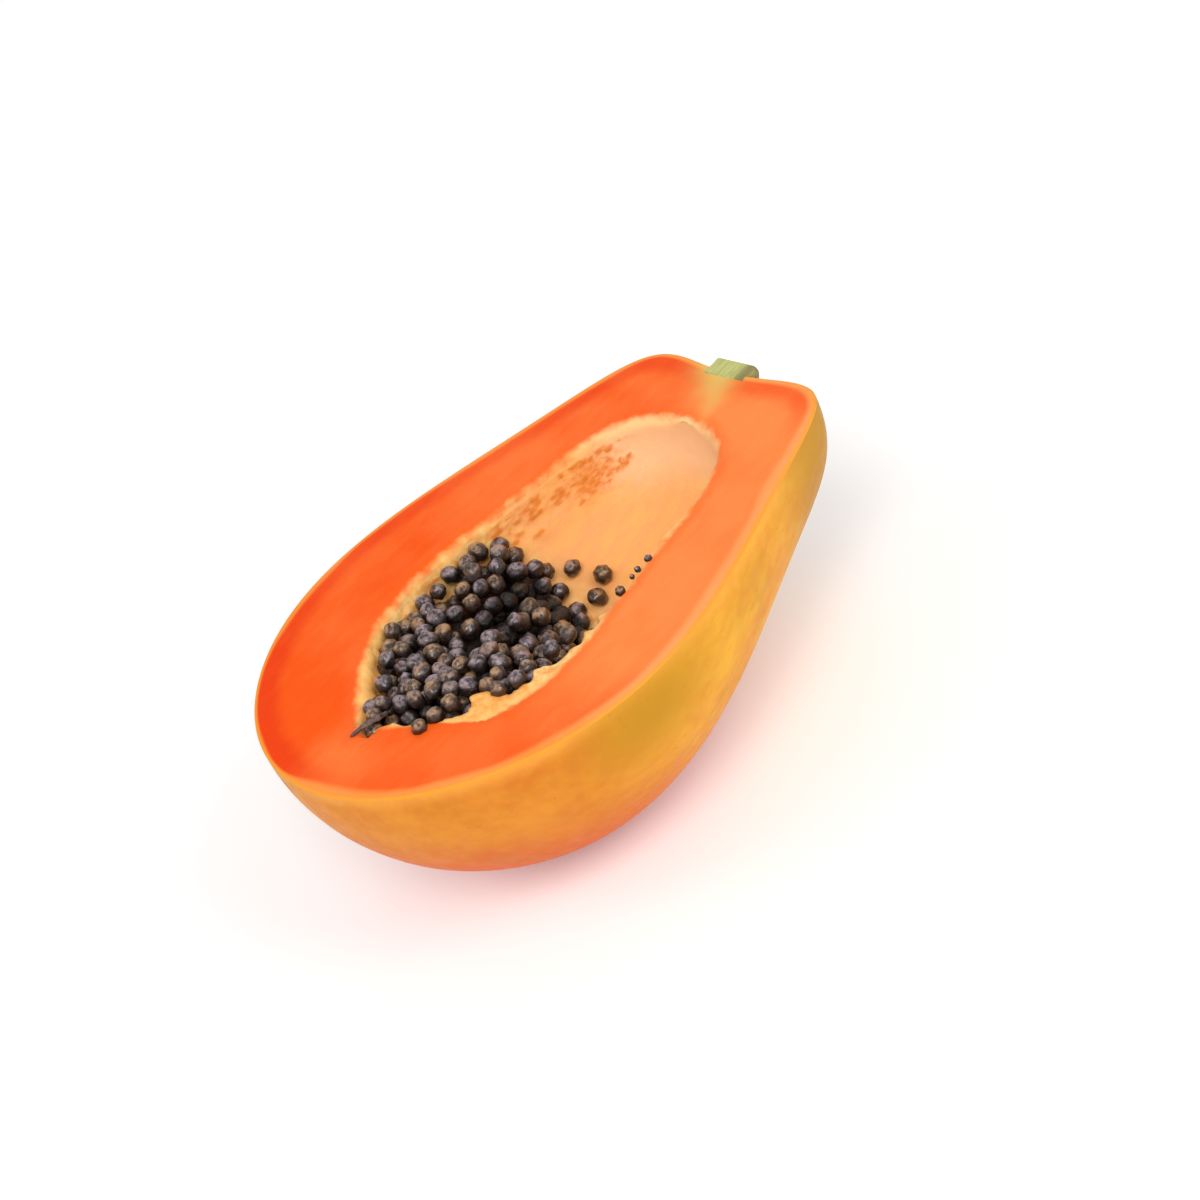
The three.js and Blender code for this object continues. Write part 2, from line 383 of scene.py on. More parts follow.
# %% [markdown]
# ## The cut face between them
# The cut face is a ring of points that runs from the rind's edge to the rim of the cavity, closer
# together where both edges bend. It shares its first and last points with the other two nets, so
# the fruit is one closed skin, and no gap can open at the edge of the knife's cut.

# %% The cut face between them
CUT_RINGS = 30
RINGS_TO_EDGES = 0.13     # how strongly the rings are drawn towards both edges
RIND, FLESH = 0, 1

outer_loop = edge_loop(rind_numbers)
inner_loop = edge_loop(cavity_numbers)
outer_edge = edge_points[outer_loop]
inner_edge = edge_points[inner_loop]
share = np.linspace(0, 1, CUT_RINGS + 1)[1:-1]
spread = share - RINGS_TO_EDGES * np.sin(2 * math.pi * share)
cut_net = outer_edge + spread[:, None, None] * (inner_edge - outer_edge)


def rounded_drop(edge):
    """How far a rounded edge lies below the flat face. It starts at the depth of the edge itself."""
    distance = np.linalg.norm((cut_net - edge)[..., :2], axis=-1)
    radius = np.maximum(-edge[:, 2], 0.01)
    left = np.clip(1 - distance / radius, 0, 1)
    return radius * (1 - np.sqrt(1 - left**2))


cut_net[..., 2] = -rounded_drop(outer_edge) - rounded_drop(inner_edge)
cut_numbers = first_cut + np.arange(cut_net[..., 0].size).reshape(cut_net.shape[:2])
cut_points = cut_net.reshape(-1, 3)
fruit_points = np.vstack([edge_points, cut_points])

rind_faces = net_faces(rind_numbers)
cavity_faces = net_faces(cavity_numbers)[:, ::-1]
cut_faces = net_faces(np.vstack([outer_loop, cut_numbers, inner_loop]), wraps=True)
fruit_faces = np.vstack([rind_faces, cavity_faces, cut_faces])
fruit_face_materials = np.full(len(fruit_faces), FLESH)
fruit_face_materials[: len(rind_faces)] = RIND
print("fruit net:", len(fruit_points), "points,", len(fruit_faces), "faces")

# %% [markdown]
# ## How far from the rind, how far from the lining
# The colours of the cut face follow its edges: pale just under the rind, redder further in, and
# cream where the soft lining begins. So each point is given its distance in millimetres to the
# rind and to the line where the lining starts. The lining is a little wider on the near side.

# %% How far from the rind, how far from the lining
LINING_ENDS_X = (-77.5, 59.0)
LINING_FAR = {"width": 33.7, "swelling": (-0.377, -0.042, -0.217)}
LINING_NEAR = {"width": 39.0, "swelling": (-0.008, 0.041, -0.108, -0.048)}
LINING_STEPS = 160
FAR_AWAY = 30.0             # for surfaces on which a distance plays no part, in mm
WALL_INSIDE = 1.5           # the cavity's wall starts this far inside the lining's line
BARE_TIP_X = (-57, -66)     # on the near side of the pointed end the knife took the lining off
BARE_TIP_Y = (6, -3)
BARE_TIP_Z = (-4, -1)
BARE_TIP_SHIFT = 7.0


def lining_edge(side, angle):
    x = sum(LINING_ENDS_X) / 2 - (LINING_ENDS_X[1] - LINING_ENDS_X[0]) / 2 * np.cos(angle)
    return x, side["width"] * np.sin(angle) * swollen(side["swelling"], angle)


def closed_line(far_x, far_y, near_x, near_y):
    """A closed line in the cut plane: out along the far side and back along the near."""
    return np.vstack([np.c_[far_x, far_y], np.c_[near_x, -near_y][::-1]])


def distance_to_line(points, line):
    """Distance in the cut plane from each point to the nearest stretch of a closed line."""
    along = np.roll(line, -1, axis=0) - line
    length2 = np.maximum((along**2).sum(1), 1e-12)
    nearest = np.full(len(points), np.inf)
    for block in np.array_split(np.arange(len(points)), 40):
        offset = points[block, None] - line
        part = np.clip((offset * along).sum(-1) / length2, 0, 1)
        gap = np.linalg.norm(offset - part[..., None] * along, axis=-1)
        nearest[block] = gap.min(axis=1)
    return nearest


lining_angles = np.linspace(0, math.pi, LINING_STEPS)
far_x, far_y = lining_edge(LINING_FAR, lining_angles)
near_x, near_y = lining_edge(LINING_NEAR, lining_angles)
outer_outline = fruit_outline(np.linspace(0, math.pi, LINING_STEPS * 2))

cut_x, cut_y = cut_points[:, 0], cut_points[:, 1]
is_inside_far = cut_y < np.interp(cut_x, far_x, far_y)
is_inside_near = -cut_y < np.interp(cut_x, near_x, near_y)
is_lining = np.where(cut_y > 0, is_inside_far, is_inside_near)
is_lining &= (cut_x > near_x[0]) & (cut_x < far_x[-1])
to_lining = distance_to_line(cut_points[:, :2], closed_line(far_x, far_y, near_x, near_y))
to_lining *= np.where(is_lining, -1, 1)
to_rind = distance_to_line(cut_points[:, :2], closed_line(*outer_outline, *outer_outline))

from_rind = np.zeros(len(fruit_points))
from_rind[first_cavity:first_cut] = FAR_AWAY
from_rind[first_cut:] = to_rind
from_lining = np.full(len(fruit_points), FAR_AWAY)
from_lining[first_cavity:first_cut] = cavity_points[:, 2] - WALL_INSIDE
from_lining[first_cut:] = to_lining
bare_tip = smoothstep(fruit_points[:, 0], *BARE_TIP_X) * smoothstep(fruit_points[:, 1], *BARE_TIP_Y)
from_lining += BARE_TIP_SHIFT * bare_tip * smoothstep(fruit_points[:, 2], *BARE_TIP_Z)
print("cut face: widest flesh", to_rind.max().round(1), "mm from the rind")

# %% [markdown]
# ## Seed scars
# The seeds hang from five lines of the cavity wall. Where they have come away, they leave rows of
# small pits, a little longer than wide. The rows are drawn as bands with random places in them,
# and each scar is a soft spot in a value on the points, which both the relief and the colour use.

# %% Seed scars
SCAR_BANDS = (               # from x, to x, turn from straight down in radians, spread, how many
    (33.0, 53.0, 1.42, 0.03, 34),
    (35.0, 50.0, 1.09, 0.03, 20),
    (26.0, 46.0, 1.24, 0.08, 28),
    (2.0, 32.0, 1.32, 0.10, 34),
    (-60.0, 8.0, 1.36, 0.12, 40),
    (-60.0, 6.0, 0.10, 0.20, 30),
    (-60.0, 6.0, -1.20, 0.16, 30),
)
SCAR_LENGTH = (1.3, 3.2)
SCAR_WIDTH = (0.6, 1.0)
SCAR_STRENGTH = (0.6, 1.0)
TORN_PATCH = (38.0, 1.22)               # x and turn of a torn, warmer patch
TORN_SIZE = (9.0, 6.0, 6.0)
TORN_STRENGTH = 0.68

draw = np.random.default_rng(11)
scar = np.zeros(len(fruit_points))


def on_wall(x, turn):
    """A point of the cavity wall, at x and at a turn from straight down."""
    radius = cavity_radius_at(x)
    return np.stack([x, lipped(x, radius * np.sin(turn), radius), -radius * np.cos(turn)], -1)


def mark_wall(middle, size, strength):
    """Raises the scar value round a point of the wall. size is along x, y and z."""
    inside = slice(first_cavity, first_cut)
    gap = np.linalg.norm((fruit_points[inside] - middle) / size, axis=1)
    scar[inside] = np.maximum(scar[inside], strength * np.exp(-(gap**2)))


for from_x, to_x, band_turn, spread, how_many in SCAR_BANDS:
    band_x = draw.uniform(from_x, to_x, how_many)
    for middle in on_wall(band_x, band_turn + draw.normal(0, spread, how_many)):
        size = [draw.uniform(*SCAR_LENGTH), *([draw.uniform(*SCAR_WIDTH)] * 2)]
        mark_wall(middle, size, draw.uniform(*SCAR_STRENGTH))
mark_wall(on_wall(*TORN_PATCH), TORN_SIZE, TORN_STRENGTH)
print(sum(band[-1] for band in SCAR_BANDS), "seed scars in", len(SCAR_BANDS), "bands")

# %% [markdown]
# ## Soft relief
# The lining is lumpy near the rim, and the wall at the stalk end is smooth. The scars are small
# dents, and the rind has long, hardly visible swells. All this is relief of up to about a
# millimetre, pushed in or out along the surface, so it catches real light.

# %% Soft relief
SCAR_DEPTH = 0.5
SCARS_START_Z = (-0.3, -1.5)     # the rounded rim itself carries no scars
LUMPS_DRAWN_OUT = 0.4            # below 1, lumps get longer along the fruit
LINING_SOFTENS = (0.8, -0.6)     # mm from the lining's line
RIM_LUMPS = (-26, -8)            # mm from the lining's line, counted down the wall
RIM_LUMPS_END_X = (54, 40)


def point_normals(points, faces):
    """Unit normals, each the average of the faces around a point."""
    first = points[faces[:, 2]] - points[faces[:, 0]]
    second = points[faces[:, 3]] - points[faces[:, 1]]
    face_normals = np.cross(first, second)
    total = np.zeros_like(points)
    for corner in range(4):
        np.add.at(total, faces[:, corner], face_normals)
    return total / np.maximum(np.linalg.norm(total, axis=1), 1e-12)[:, None]


normals = point_normals(fruit_points, fruit_faces)
x = fruit_points[:, 0]
in_lining = smoothstep(from_lining, *LINING_SOFTENS)
in_flesh = (1 - in_lining) * smoothstep(from_rind, 0, 4)
on_rind = from_rind <= 0
near_rim = in_lining * smoothstep(from_lining, *RIM_LUMPS) * smoothstep(x, *RIM_LUMPS_END_X)
long_lumps = fruit_points * [LUMPS_DRAWN_OUT, 1, 1]
relief_layers = (            # where, height, points, width of a lump, all in mm, and random seed
    (near_rim, 0.34, fruit_points, 1.9, 21),
    (near_rim, 0.60, long_lumps, 3.4, 22),
    (in_lining, 0.10, long_lumps, 2.6, 26),
    (in_lining, 0.35, fruit_points, 15.0, 23),
    (in_flesh, 0.10, fruit_points, 7.0, 24),
    (on_rind, 0.25, fruit_points, 26.0, 25),
)
relief = sum(height * where * uneven(at, width, seed) for where, height, at, width, seed in relief_layers)
relief -= SCAR_DEPTH * scar * smoothstep(fruit_points[:, 2], *SCARS_START_Z)
fruit_points = fruit_points + relief[:, None] * normals
is_low = fruit_points[:, 2] < -CUT_HEIGHT
fruit_points[is_low, 2] = -CUT_HEIGHT
print("relief from", relief.min().round(2), "to", relief.max().round(2), "mm")

# %% [markdown]
# ## Where the fruit is paler
# Ripening runs unevenly through a papaya. The flesh on the near side is lighter and yellower,
# partly from that and partly as painted sheen, as a wet face would catch the light. The pale layer
# under the rind is wider there, and other parts stay redder. These are soft fields over the cut
# face, so they are worked out per point, and the materials blend with them.

# %% Where the fruit is paler
EVERYWHERE = (-1000, -999)
PALER_PARTS = (              # how much paler; then where it starts and is full, in x and in y
    (0.10, EVERYWHERE, EVERYWHERE),
    (0.14, (-80, 20), EVERYWHERE),
    (-0.35, (66, 76), EVERYWHERE),
    (0.30, (60, 72), (6, 20)),
    (-0.28, (-50, -66), (8, 26)),
    (0.20, (-60, -76), (-2, -14)),
)
PALE_BLOSSOM = {"paler": 0.42, "x": -86, "y": 2, "half_length": 10, "half_width": 14}
PALE_AND_SHEEN_NEAR_SIDE = 0.70
PALE_AND_SHEEN_NEAR_SIDE_X = (-78, -26)
PALE_FAR_STRIP = 0.22
PALE_LAYER_WIDTH = 2.4

y = fruit_points[:, 1]
near_from_y = 30 - 26 * smoothstep(x, 20, 60)
near_side = smoothstep(-y, near_from_y - 24, near_from_y + 8)
far_strip = smoothstep(x, -6, 16) * smoothstep(y, 20, 34) * smoothstep(x, 50, 30)
from_blossom_x = (x - PALE_BLOSSOM["x"]) / PALE_BLOSSOM["half_length"]
from_blossom_y = (y - PALE_BLOSSOM["y"]) / PALE_BLOSSOM["half_width"]
# The lighter flesh on the near side is partly uneven ripening and partly painted sheen.
paler = PALE_AND_SHEEN_NEAR_SIDE * smoothstep(x, *PALE_AND_SHEEN_NEAR_SIDE_X) * near_side
paler += PALE_FAR_STRIP * far_strip
paler += PALE_BLOSSOM["paler"] * np.exp(-(from_blossom_x**2 + from_blossom_y**2))
for amount, in_x, in_y in PALER_PARTS:
    paler += amount * smoothstep(x, *in_x) * smoothstep(y, *in_y)
paler += 0.16 * uneven(fruit_points, 22.0, 31) + 0.10 * uneven(fruit_points, 9.0, 32)

long_near_side = smoothstep(-y, 6, 30) * smoothstep(x, -60, -14) * smoothstep(x, 76, 56)
near_tip = smoothstep(-y, -14, 8) * smoothstep(x, -30, -60)
far_tip = smoothstep(y, 4, 24) * smoothstep(x, -46, -70)
redder_outside = 1 - 0.85 * np.maximum(long_near_side, near_tip)
rim_width = PALE_LAYER_WIDTH + 2.2 * long_near_side + 2.0 * near_tip - 1.3 * far_tip
rim_width += 0.7 * uneven(fruit_points, 14.0, 33)
print("pale layer under the rind:", rim_width.min().round(1), "to", rim_width.max().round(1), "mm wide")

# %% [markdown]
# ## The green trace of the stalk
# A yellow-green trace runs from the stalk to the cavity, where the fruit was fed. It is a line of a
# few points, wide at the stalk and narrow and faint at the cavity.

# %% The green trace of the stalk
STALK_TRACE = np.array([(80.0, 4.5), (74.0, 1.5), (68.0, -2.5), (61.0, -5.5)])
STALK_TRACE_WIDTH = (9.0, 1.8)
STALK_TRACE_FADES = 0.75

trace = np.zeros(len(fruit_points))
for i in range(len(STALK_TRACE) - 1):
    start, along = STALK_TRACE[i], STALK_TRACE[i + 1] - STALK_TRACE[i]
    offset = fruit_points[:, :2] - start
    part = np.clip((offset @ along) / (along @ along), 0, 1)
    gap = np.linalg.norm(offset - part[:, None] * along, axis=1)
    run = (i + part) / (len(STALK_TRACE) - 1)
    width = STALK_TRACE_WIDTH[0] * (1 - run) + STALK_TRACE_WIDTH[1] * run
    trace = np.maximum(trace, (1 - STALK_TRACE_FADES * run) * np.exp(-((gap / width) ** 2)))
trace[first_cavity:first_cut] = 0
fruit_values = {
    "from_rind": from_rind,
    "from_lining": from_lining,
    "scar": scar,
    "paler": np.clip(paler, 0, 1),
    "redder_outside": redder_outside,
    "rim": np.minimum(from_rind / rim_width, 6),
    "stalk_trace": trace,
}
for value_name, numbers in fruit_values.items():
    print(value_name, "from", numbers.min().round(1), "to", numbers.max().round(1))

# %% [markdown]
# ## Small tools for materials
# A material is a set of nodes, each of which takes numbers or colours in and gives some out. Laying
# them by hand takes many clicks, so a few short functions do it: one lays any node, and the rest
# are the blends that come up again and again. Colours are given as on a screen, from 0 to 255.


# %% Small tools for materials
def paint(red, green, blue):
    """A colour as on a screen, turned into the light values that materials work with."""
    parts = np.array([red, green, blue]) / 255
    linear = np.where(parts <= 0.04045, parts / 12.92, ((parts + 0.055) / 1.055) ** 2.4)
    return (*linear.tolist(), 1.0)


def feed(tree, socket, value):
    """Gives a socket a fixed value, or links another node's output to it."""
    if isinstance(value, bpy.types.NodeSocket):
        tree.links.new(value, socket)
    else:
        socket.default_value = value


def lay(tree, kind, ins=None, **settings):
    """Lays a node. ins gives each input, by name or number, a value or another node's output."""
    made = tree.nodes.new("ShaderNode" + kind)
    for name, value in settings.items():
        setattr(made, name, value)
    for name, value in (ins or {}).items():
        feed(tree, made.inputs[name], value)
    return made


def sums(tree, how, first, second):
    return lay(tree, "Math", {0: first, 1: second}, operation=how).outputs[0]


def times(tree, first, second):
    return sums(tree, "MULTIPLY", first, second)


def rise(tree, value, low, high, bottom=0.0, top=1.0):
    """Turns a value into a soft rise from bottom, at low, to top, at high."""
    ins = {"Value": value, 1: low, 2: high, 3: bottom, 4: top}
    return lay(tree, "MapRange", ins, interpolation_type="SMOOTHSTEP").outputs[0]


def blend(tree, amount, first, second):
    """A colour between two colours."""
    return lay(tree, "Mix", {0: amount, 6: first, 7: second}, data_type="RGBA").outputs[2]


def cover(tree, colour, mask, share, over):
    """Lays another colour over a colour where the mask says so. share is how much it covers."""
    return blend(tree, times(tree, mask, share), colour, over)


def value_on_mesh(tree, name):
    return lay(tree, "Attribute", attribute_name=name).outputs["Fac"]


def place_on_fruit(tree):
    """The place of each point in metres, and its x, y and z one by one."""
    place = lay(tree, "TexCoord").outputs["Object"]
    return place, lay(tree, "SeparateXYZ", {0: place}).outputs


def clouds(tree, place, size_mm, detail=3.0, roughness=0.55, stretch=(1, 1, 1)):
    """Cloudy noise from 0 to 1. stretch makes the clouds longer along an axis."""
    scale = [1 / (size_mm * MM * s) for s in stretch]
    scaled = lay(tree, "VectorMath", {0: place, 1: scale}, operation="MULTIPLY").outputs[0]
    ins = {"Vector": scaled, "Scale": 1.0, "Detail": detail, "Roughness": roughness}
    return lay(tree, "TexNoise", ins).outputs[0]


def swing(tree, noise, width):
    """Noise about zero, so wide that it would reach half of width to both sides."""
    return times(tree, sums(tree, "SUBTRACT", noise, 0.5), width)


def start_material(name):
    """An empty material with its output and one Principled shader."""
    material = bpy.data.materials.new(name)
    material.use_nodes = True
    tree = material.node_tree
    shader = tree.nodes["Principled BSDF"]
    return material, tree, shader


print("paint(188, 188, 188) is", round(paint(188, 188, 188)[0], 2), "of full light")

# %% [markdown]
# ## Two effects that several materials share
# *Blotches* mix two colours in soft uneven patches, with a second, finer set of patches over
# them, as on anything that ripened. *Grain* is the fine unevenness of a moist surface. It gives
# the height for a bump and the uneven gloss. Each is a node group with its own inputs, so every
# material can use it with its own sizes.

# %% Two effects that several materials share
def start_group(name, inputs, outputs):
    """A node group. inputs and outputs map each socket's name to its kind and first value."""
    group = bpy.data.node_groups.new(name, "ShaderNodeTree")
    for in_out, sockets in (("INPUT", inputs), ("OUTPUT", outputs)):
        for socket_name, (kind, first) in sockets.items():
            socket = group.interface.new_socket(
                name=socket_name, in_out=in_out, socket_type="NodeSocket" + kind
            )
            if first is not None:
                socket.default_value = first
    given = group.nodes.new("NodeGroupInput").outputs
    gives = group.nodes.new("NodeGroupOutput").inputs
    return group, given, gives


def sized_noise(tree, place, size, detail):
    per_metre = sums(tree, "DIVIDE", 1 / MM, size)
    ins = {"Vector": place, "Scale": per_metre, "Detail": detail, "Roughness": 0.55}
    return lay(tree, "TexNoise", ins).outputs[0]


blotches, given, gives = start_group(
    "blotches",
    {
        "Place": ("Vector", None),
        "First": ("Color", (1, 1, 1, 1)),
        "Second": ("Color", (0, 0, 0, 1)),
        "Large mm": ("Float", 20.0),
        "Small mm": ("Float", 4.0),
        "Sharpness": ("Float", 0.2),
        "Shift": ("Float", 0.0),
    },
    {"Color": ("Color", None), "Mask": ("Float", None)},
)
large = sized_noise(blotches, given["Place"], given["Large mm"], 3.0)
small = sized_noise(blotches, given["Place"], given["Small mm"], 4.0)
both = sums(blotches, "ADD", times(blotches, large, 0.7), times(blotches, small, 0.3))
shifted = sums(blotches, "ADD", both, given["Shift"])
half_open = times(blotches, given["Sharpness"], 0.5)
mask_from = sums(blotches, "SUBTRACT", 0.5, half_open)
mask_to = sums(blotches, "ADD", 0.5, half_open)
mask = rise(blotches, shifted, mask_from, mask_to)
feed(blotches, gives["Color"], blend(blotches, mask, given["First"], given["Second"]))
feed(blotches, gives["Mask"], mask)

grain, given, gives = start_group(
    "grain",
    {
        "Place": ("Vector", None),
        "Coarse mm": ("Float", 3.0),
        "Fine mm": ("Float", 0.8),
        "Rough from": ("Float", 0.3),
        "Rough to": ("Float", 0.5),
    },
    {"Height": ("Float", None), "Roughness": ("Float", None)},
)
coarse = sized_noise(grain, given["Place"], given["Coarse mm"], 2.0)
fine = sized_noise(grain, given["Place"], given["Fine mm"], 3.0)
feed(grain, gives["Height"], sums(grain, "ADD", coarse, times(grain, fine, 0.6)))
gloss = {"Value": coarse, 1: 0.3, 2: 0.7, 3: given["Rough from"], 4: given["Rough to"]}
feed(grain, gives["Roughness"], lay(grain, "MapRange", gloss).outputs[0])
print("node groups:", [g.name for g in bpy.data.node_groups])

# %% [markdown]
# ## Using the two effects
# Every surface below gets its gloss and its fine relief in the same way: the grain's height tilts
# the light a little, and its roughness makes the gloss uneven. So one function does both and plugs
# them into the material's own shader, together with the colour.


# %% Using the two effects
def lay_group(tree, group, **ins):
    """Lays a node group. An underscore in a name stands for a space."""
    made = tree.nodes.new("ShaderNodeGroup")
    made.node_tree = group
    for name, value in ins.items():
        feed(tree, made.inputs[name.replace("_", " ")], value)
    return made.outputs


def patches(tree, place, first, second, large_mm, small_mm, sharpness, shift=0.0):
    """Blotches between two colours. The smaller the sharpness, the harder their edges."""
    return lay_group(
        tree, blotches, Place=place, First=first, Second=second,
        Large_mm=large_mm, Small_mm=small_mm, Sharpness=sharpness, Shift=shift,
    )


def bump(tree, height, depth_mm):
    """Turns a height from 0 to 1 into tilted light, as relief of that depth would give."""
    return lay(tree, "Bump", {"Height": height, "Distance": depth_mm * MM}).outputs[0]


def give_surface(tree, shader, place, colour, grain_mm, roughness, depth_mm, more_height=0.0):
    """Plugs in the colour and the grain's gloss and relief. grain_mm is coarse and fine."""
    surface = lay_group(
        tree, grain, Place=place, Coarse_mm=grain_mm[0], Fine_mm=grain_mm[1],
        Rough_from=roughness[0], Rough_to=roughness[1],
    )
    height = sums(tree, "ADD", surface["Height"], more_height)
    feed(tree, shader.inputs["Base Color"], colour)
    feed(tree, shader.inputs["Roughness"], surface["Roughness"])
    feed(tree, shader.inputs["Normal"], bump(tree, height, depth_mm))


print("sockets of the blotches:", [s.name for s in blotches.interface.items_tree])

# %% [markdown]
# ## Flesh
# Its colour goes through thin bands from the rind inwards: the cut edge of the rind, a pale layer
# under it, redder flesh, lighter flesh in the middle, and a redder line along the lining. Each
# band is a soft rise over a distance, and clouds let the distance wander, because no band in a
# fruit has an even width.

# %% Flesh
OUTER_BAND = (10.0, 4.5)         # mm from the rind where the redder flesh starts and is full
PALE_LAYER = (1.15, 0.45)        # the same for the pale layer, in widths of that layer
CUT_RIND = (1.3, 0.2)
INNER_LINE = (5.0, 0.6)          # mm from the lining
BAND_WANDERS = 3.0
LINING_FRAYS = 3.6

flesh, tree, shader = start_material("flesh")
place, axes = place_on_fruit(tree)
rind_gap = value_on_mesh(tree, "from_rind")
lining_gap = value_on_mesh(tree, "from_lining")
wander = swing(tree, clouds(tree, place, 7.0), BAND_WANDERS)
frayed = swing(tree, clouds(tree, place, 4.2, 2.5), LINING_FRAYS)
rind_gap_uneven = sums(tree, "ADD", rind_gap, wander)
lining_gap_uneven = sums(tree, "ADD", lining_gap, frayed)
vessels = swing(tree, clouds(tree, place, 3.0, 3.0, 0.55, (3, 1, 1)), 0.4)
paleness = sums(tree, "ADD", value_on_mesh(tree, "paler"), vessels)

middle = blend(tree, paleness, paint(246, 86, 8), paint(252, 138, 68))
redder = blend(tree, paleness, paint(236, 64, 4), paint(250, 114, 46))
under_rind = blend(tree, paleness, paint(248, 142, 54), paint(253, 160, 92))
outer_band = rise(tree, rind_gap_uneven, *OUTER_BAND)
inner_line = rise(tree, lining_gap_uneven, *INNER_LINE)
pale_layer = rise(tree, value_on_mesh(tree, "rim"), *PALE_LAYER)
flesh_colour = cover(tree, middle, outer_band, value_on_mesh(tree, "redder_outside"), redder)
flesh_colour = cover(tree, flesh_colour, inner_line, 0.45, paint(248, 100, 30))
flesh_colour = blend(tree, pale_layer, flesh_colour, under_rind)
flesh_colour = cover(tree, flesh_colour, rise(tree, rind_gap, *CUT_RIND), 0.8, paint(240, 158, 48))
print("the flesh has", len(tree.nodes), "nodes so far")

# %% [markdown]
# ## Lining of the cavity
# Where it is fibrous, the lining is cream with orange blotches, and along the far side it is
# painted lighter, as painted light that lifts the shade there. Where the wall is smooth, towards the
# stalk, it is peach with faint yellow streaks. At the very end it is pinker and lighter: partly its
# own colour, partly painted light that lifts the shade under the rim. The pointed end is warmer,
# and a pale edge follows the rim. These are looks of one skin that is grown together with the
# flesh, so they are parts of the same material.

# %% Lining of the cavity
SMOOTH_WALL_X = (0.006, 0.026)      # from start to full, along the fruit, in metres
NEAR_WALL_Y = (0.008, -0.014)
LIT_PINK_END_X = (0.040, 0.056)
LIT_PINK_END_Z = (0.044, 0.055)
LIT_FAR_SIDE_Y = (0.0, 0.014)
POINTED_END_X = (-0.026, -0.044)
PALE_EDGE = (-3.6, -1.4)            # mm from the lining's line
STREAKS = (0.42, 0.62)              # of the clouds, from 0 to 1
SCARS_SHOW = (0.12, 0.9)
SCARS_FRAY = 1.3

cream = patches(tree, place, paint(255, 214, 142), paint(242, 150, 66), 3.0, 1.0, 0.26, -0.01)["Color"]
near_wall = rise(tree, axes[1], *NEAR_WALL_Y)
wall_colour = blend(tree, near_wall, paint(248, 173, 108), paint(252, 182, 118))
streaks = rise(tree, clouds(tree, place, 3.2, 3.0, 0.6, (8, 1, 1)), *STREAKS)
streaks_show = rise(tree, near_wall, 0.0, 1.0, 0.35, 0.9)
wall_colour = cover(tree, wall_colour, streaks, streaks_show, paint(254, 192, 98))
# Painted light: the wall at the stalk end is painted pinker and lighter, to lift the shade under the rim.
lit_pink_end = times(tree, rise(tree, axes[0], *LIT_PINK_END_X), rise(tree, axes[2], *LIT_PINK_END_Z))
wall_colour = cover(tree, wall_colour, lit_pink_end, 0.9, paint(254, 202, 152))

# Painted light: the fibrous lining on the far side is painted lighter, to lift the shade there.
rim_colour = cover(tree, cream, rise(tree, axes[1], *LIT_FAR_SIDE_Y), 0.4, paint(255, 200, 122))
pointed_end = rise(tree, axes[0], *POINTED_END_X)
rim_colour = cover(tree, rim_colour, pointed_end, 0.5, paint(255, 172, 82))
lining_colour = blend(tree, rise(tree, axes[0], *SMOOTH_WALL_X), rim_colour, wall_colour)
pale_edge = rise(tree, lining_gap, *PALE_EDGE)
lining_colour = cover(tree, lining_colour, pale_edge, 0.4, paint(255, 206, 124))
torn = swing(tree, clouds(tree, place, 1.0, 3.0, 0.6, (2.5, 1, 1)), SCARS_FRAY)
scar_mark = rise(tree, sums(tree, "ADD", value_on_mesh(tree, "scar"), torn), *SCARS_SHOW)
lining_colour = cover(tree, lining_colour, scar_mark, 0.9, paint(226, 128, 46))
print("with its lining the flesh has", len(tree.nodes), "nodes")

# %% [markdown]
# ## One moist surface over both
# Cut papaya is moist and lets a little light in, which takes the hardness off its shading. Red
# light goes furthest into it. Flesh and lining run into each other along a frayed line, and the
# green trace lies over both.

# %% One moist surface over both
FLESH_STARTS = (-1.4, 1.4)          # mm from the lining's line

surface = blend(tree, rise(tree, lining_gap_uneven, *FLESH_STARTS), lining_colour, flesh_colour)
surface = blend(tree, value_on_mesh(tree, "stalk_trace"), surface, paint(226, 196, 104))
give_surface(tree, shader, place, surface, (2.6, 0.7), (0.34, 0.5), 0.16)
shader.inputs["Subsurface Weight"].default_value = 0.12
shader.inputs["Subsurface Radius"].default_value = (1.0, 0.35, 0.12)
shader.inputs["Subsurface Scale"].default_value = 0.004
shader.inputs["IOR"].default_value = 1.16
print(flesh.name, "has", len(tree.nodes), "nodes")

# %% [markdown]
# ## Colours of the rind
# The rind of a ripe papaya turns from green to yellow and orange in clouds, redder at the blossom
# end, and greener towards the stalk. Low down it is darker and redder, partly its riper tone and
# partly painted shade on the underside. A paler band just under the cut is partly its own yellower
# edge and partly painted highlight along the top. The clouds are long along the fruit, as the fruit
# grew longer while it coloured.

# %% Colours of the rind
DRAWN_OUT = (0.55, 1, 1)
OLIVE_PATCH = (-0.0265 * DRAWN_OUT[0], -0.066, 0.056)    # a place on the near side that stays greener
OLIVE_PATCH_RADIUS = 0.022
BLOSSOM_PART_X = (0.012, -0.062)
LOW_DOWN_Z = (0.034, 0.004)
LOW_DOWN_TILT = 0.2          # it reaches higher at the blossom end
NEAR_CUT = (5.5, 0.8)        # mm below the cut
GREEN_END_X = (0.042, 0.070)

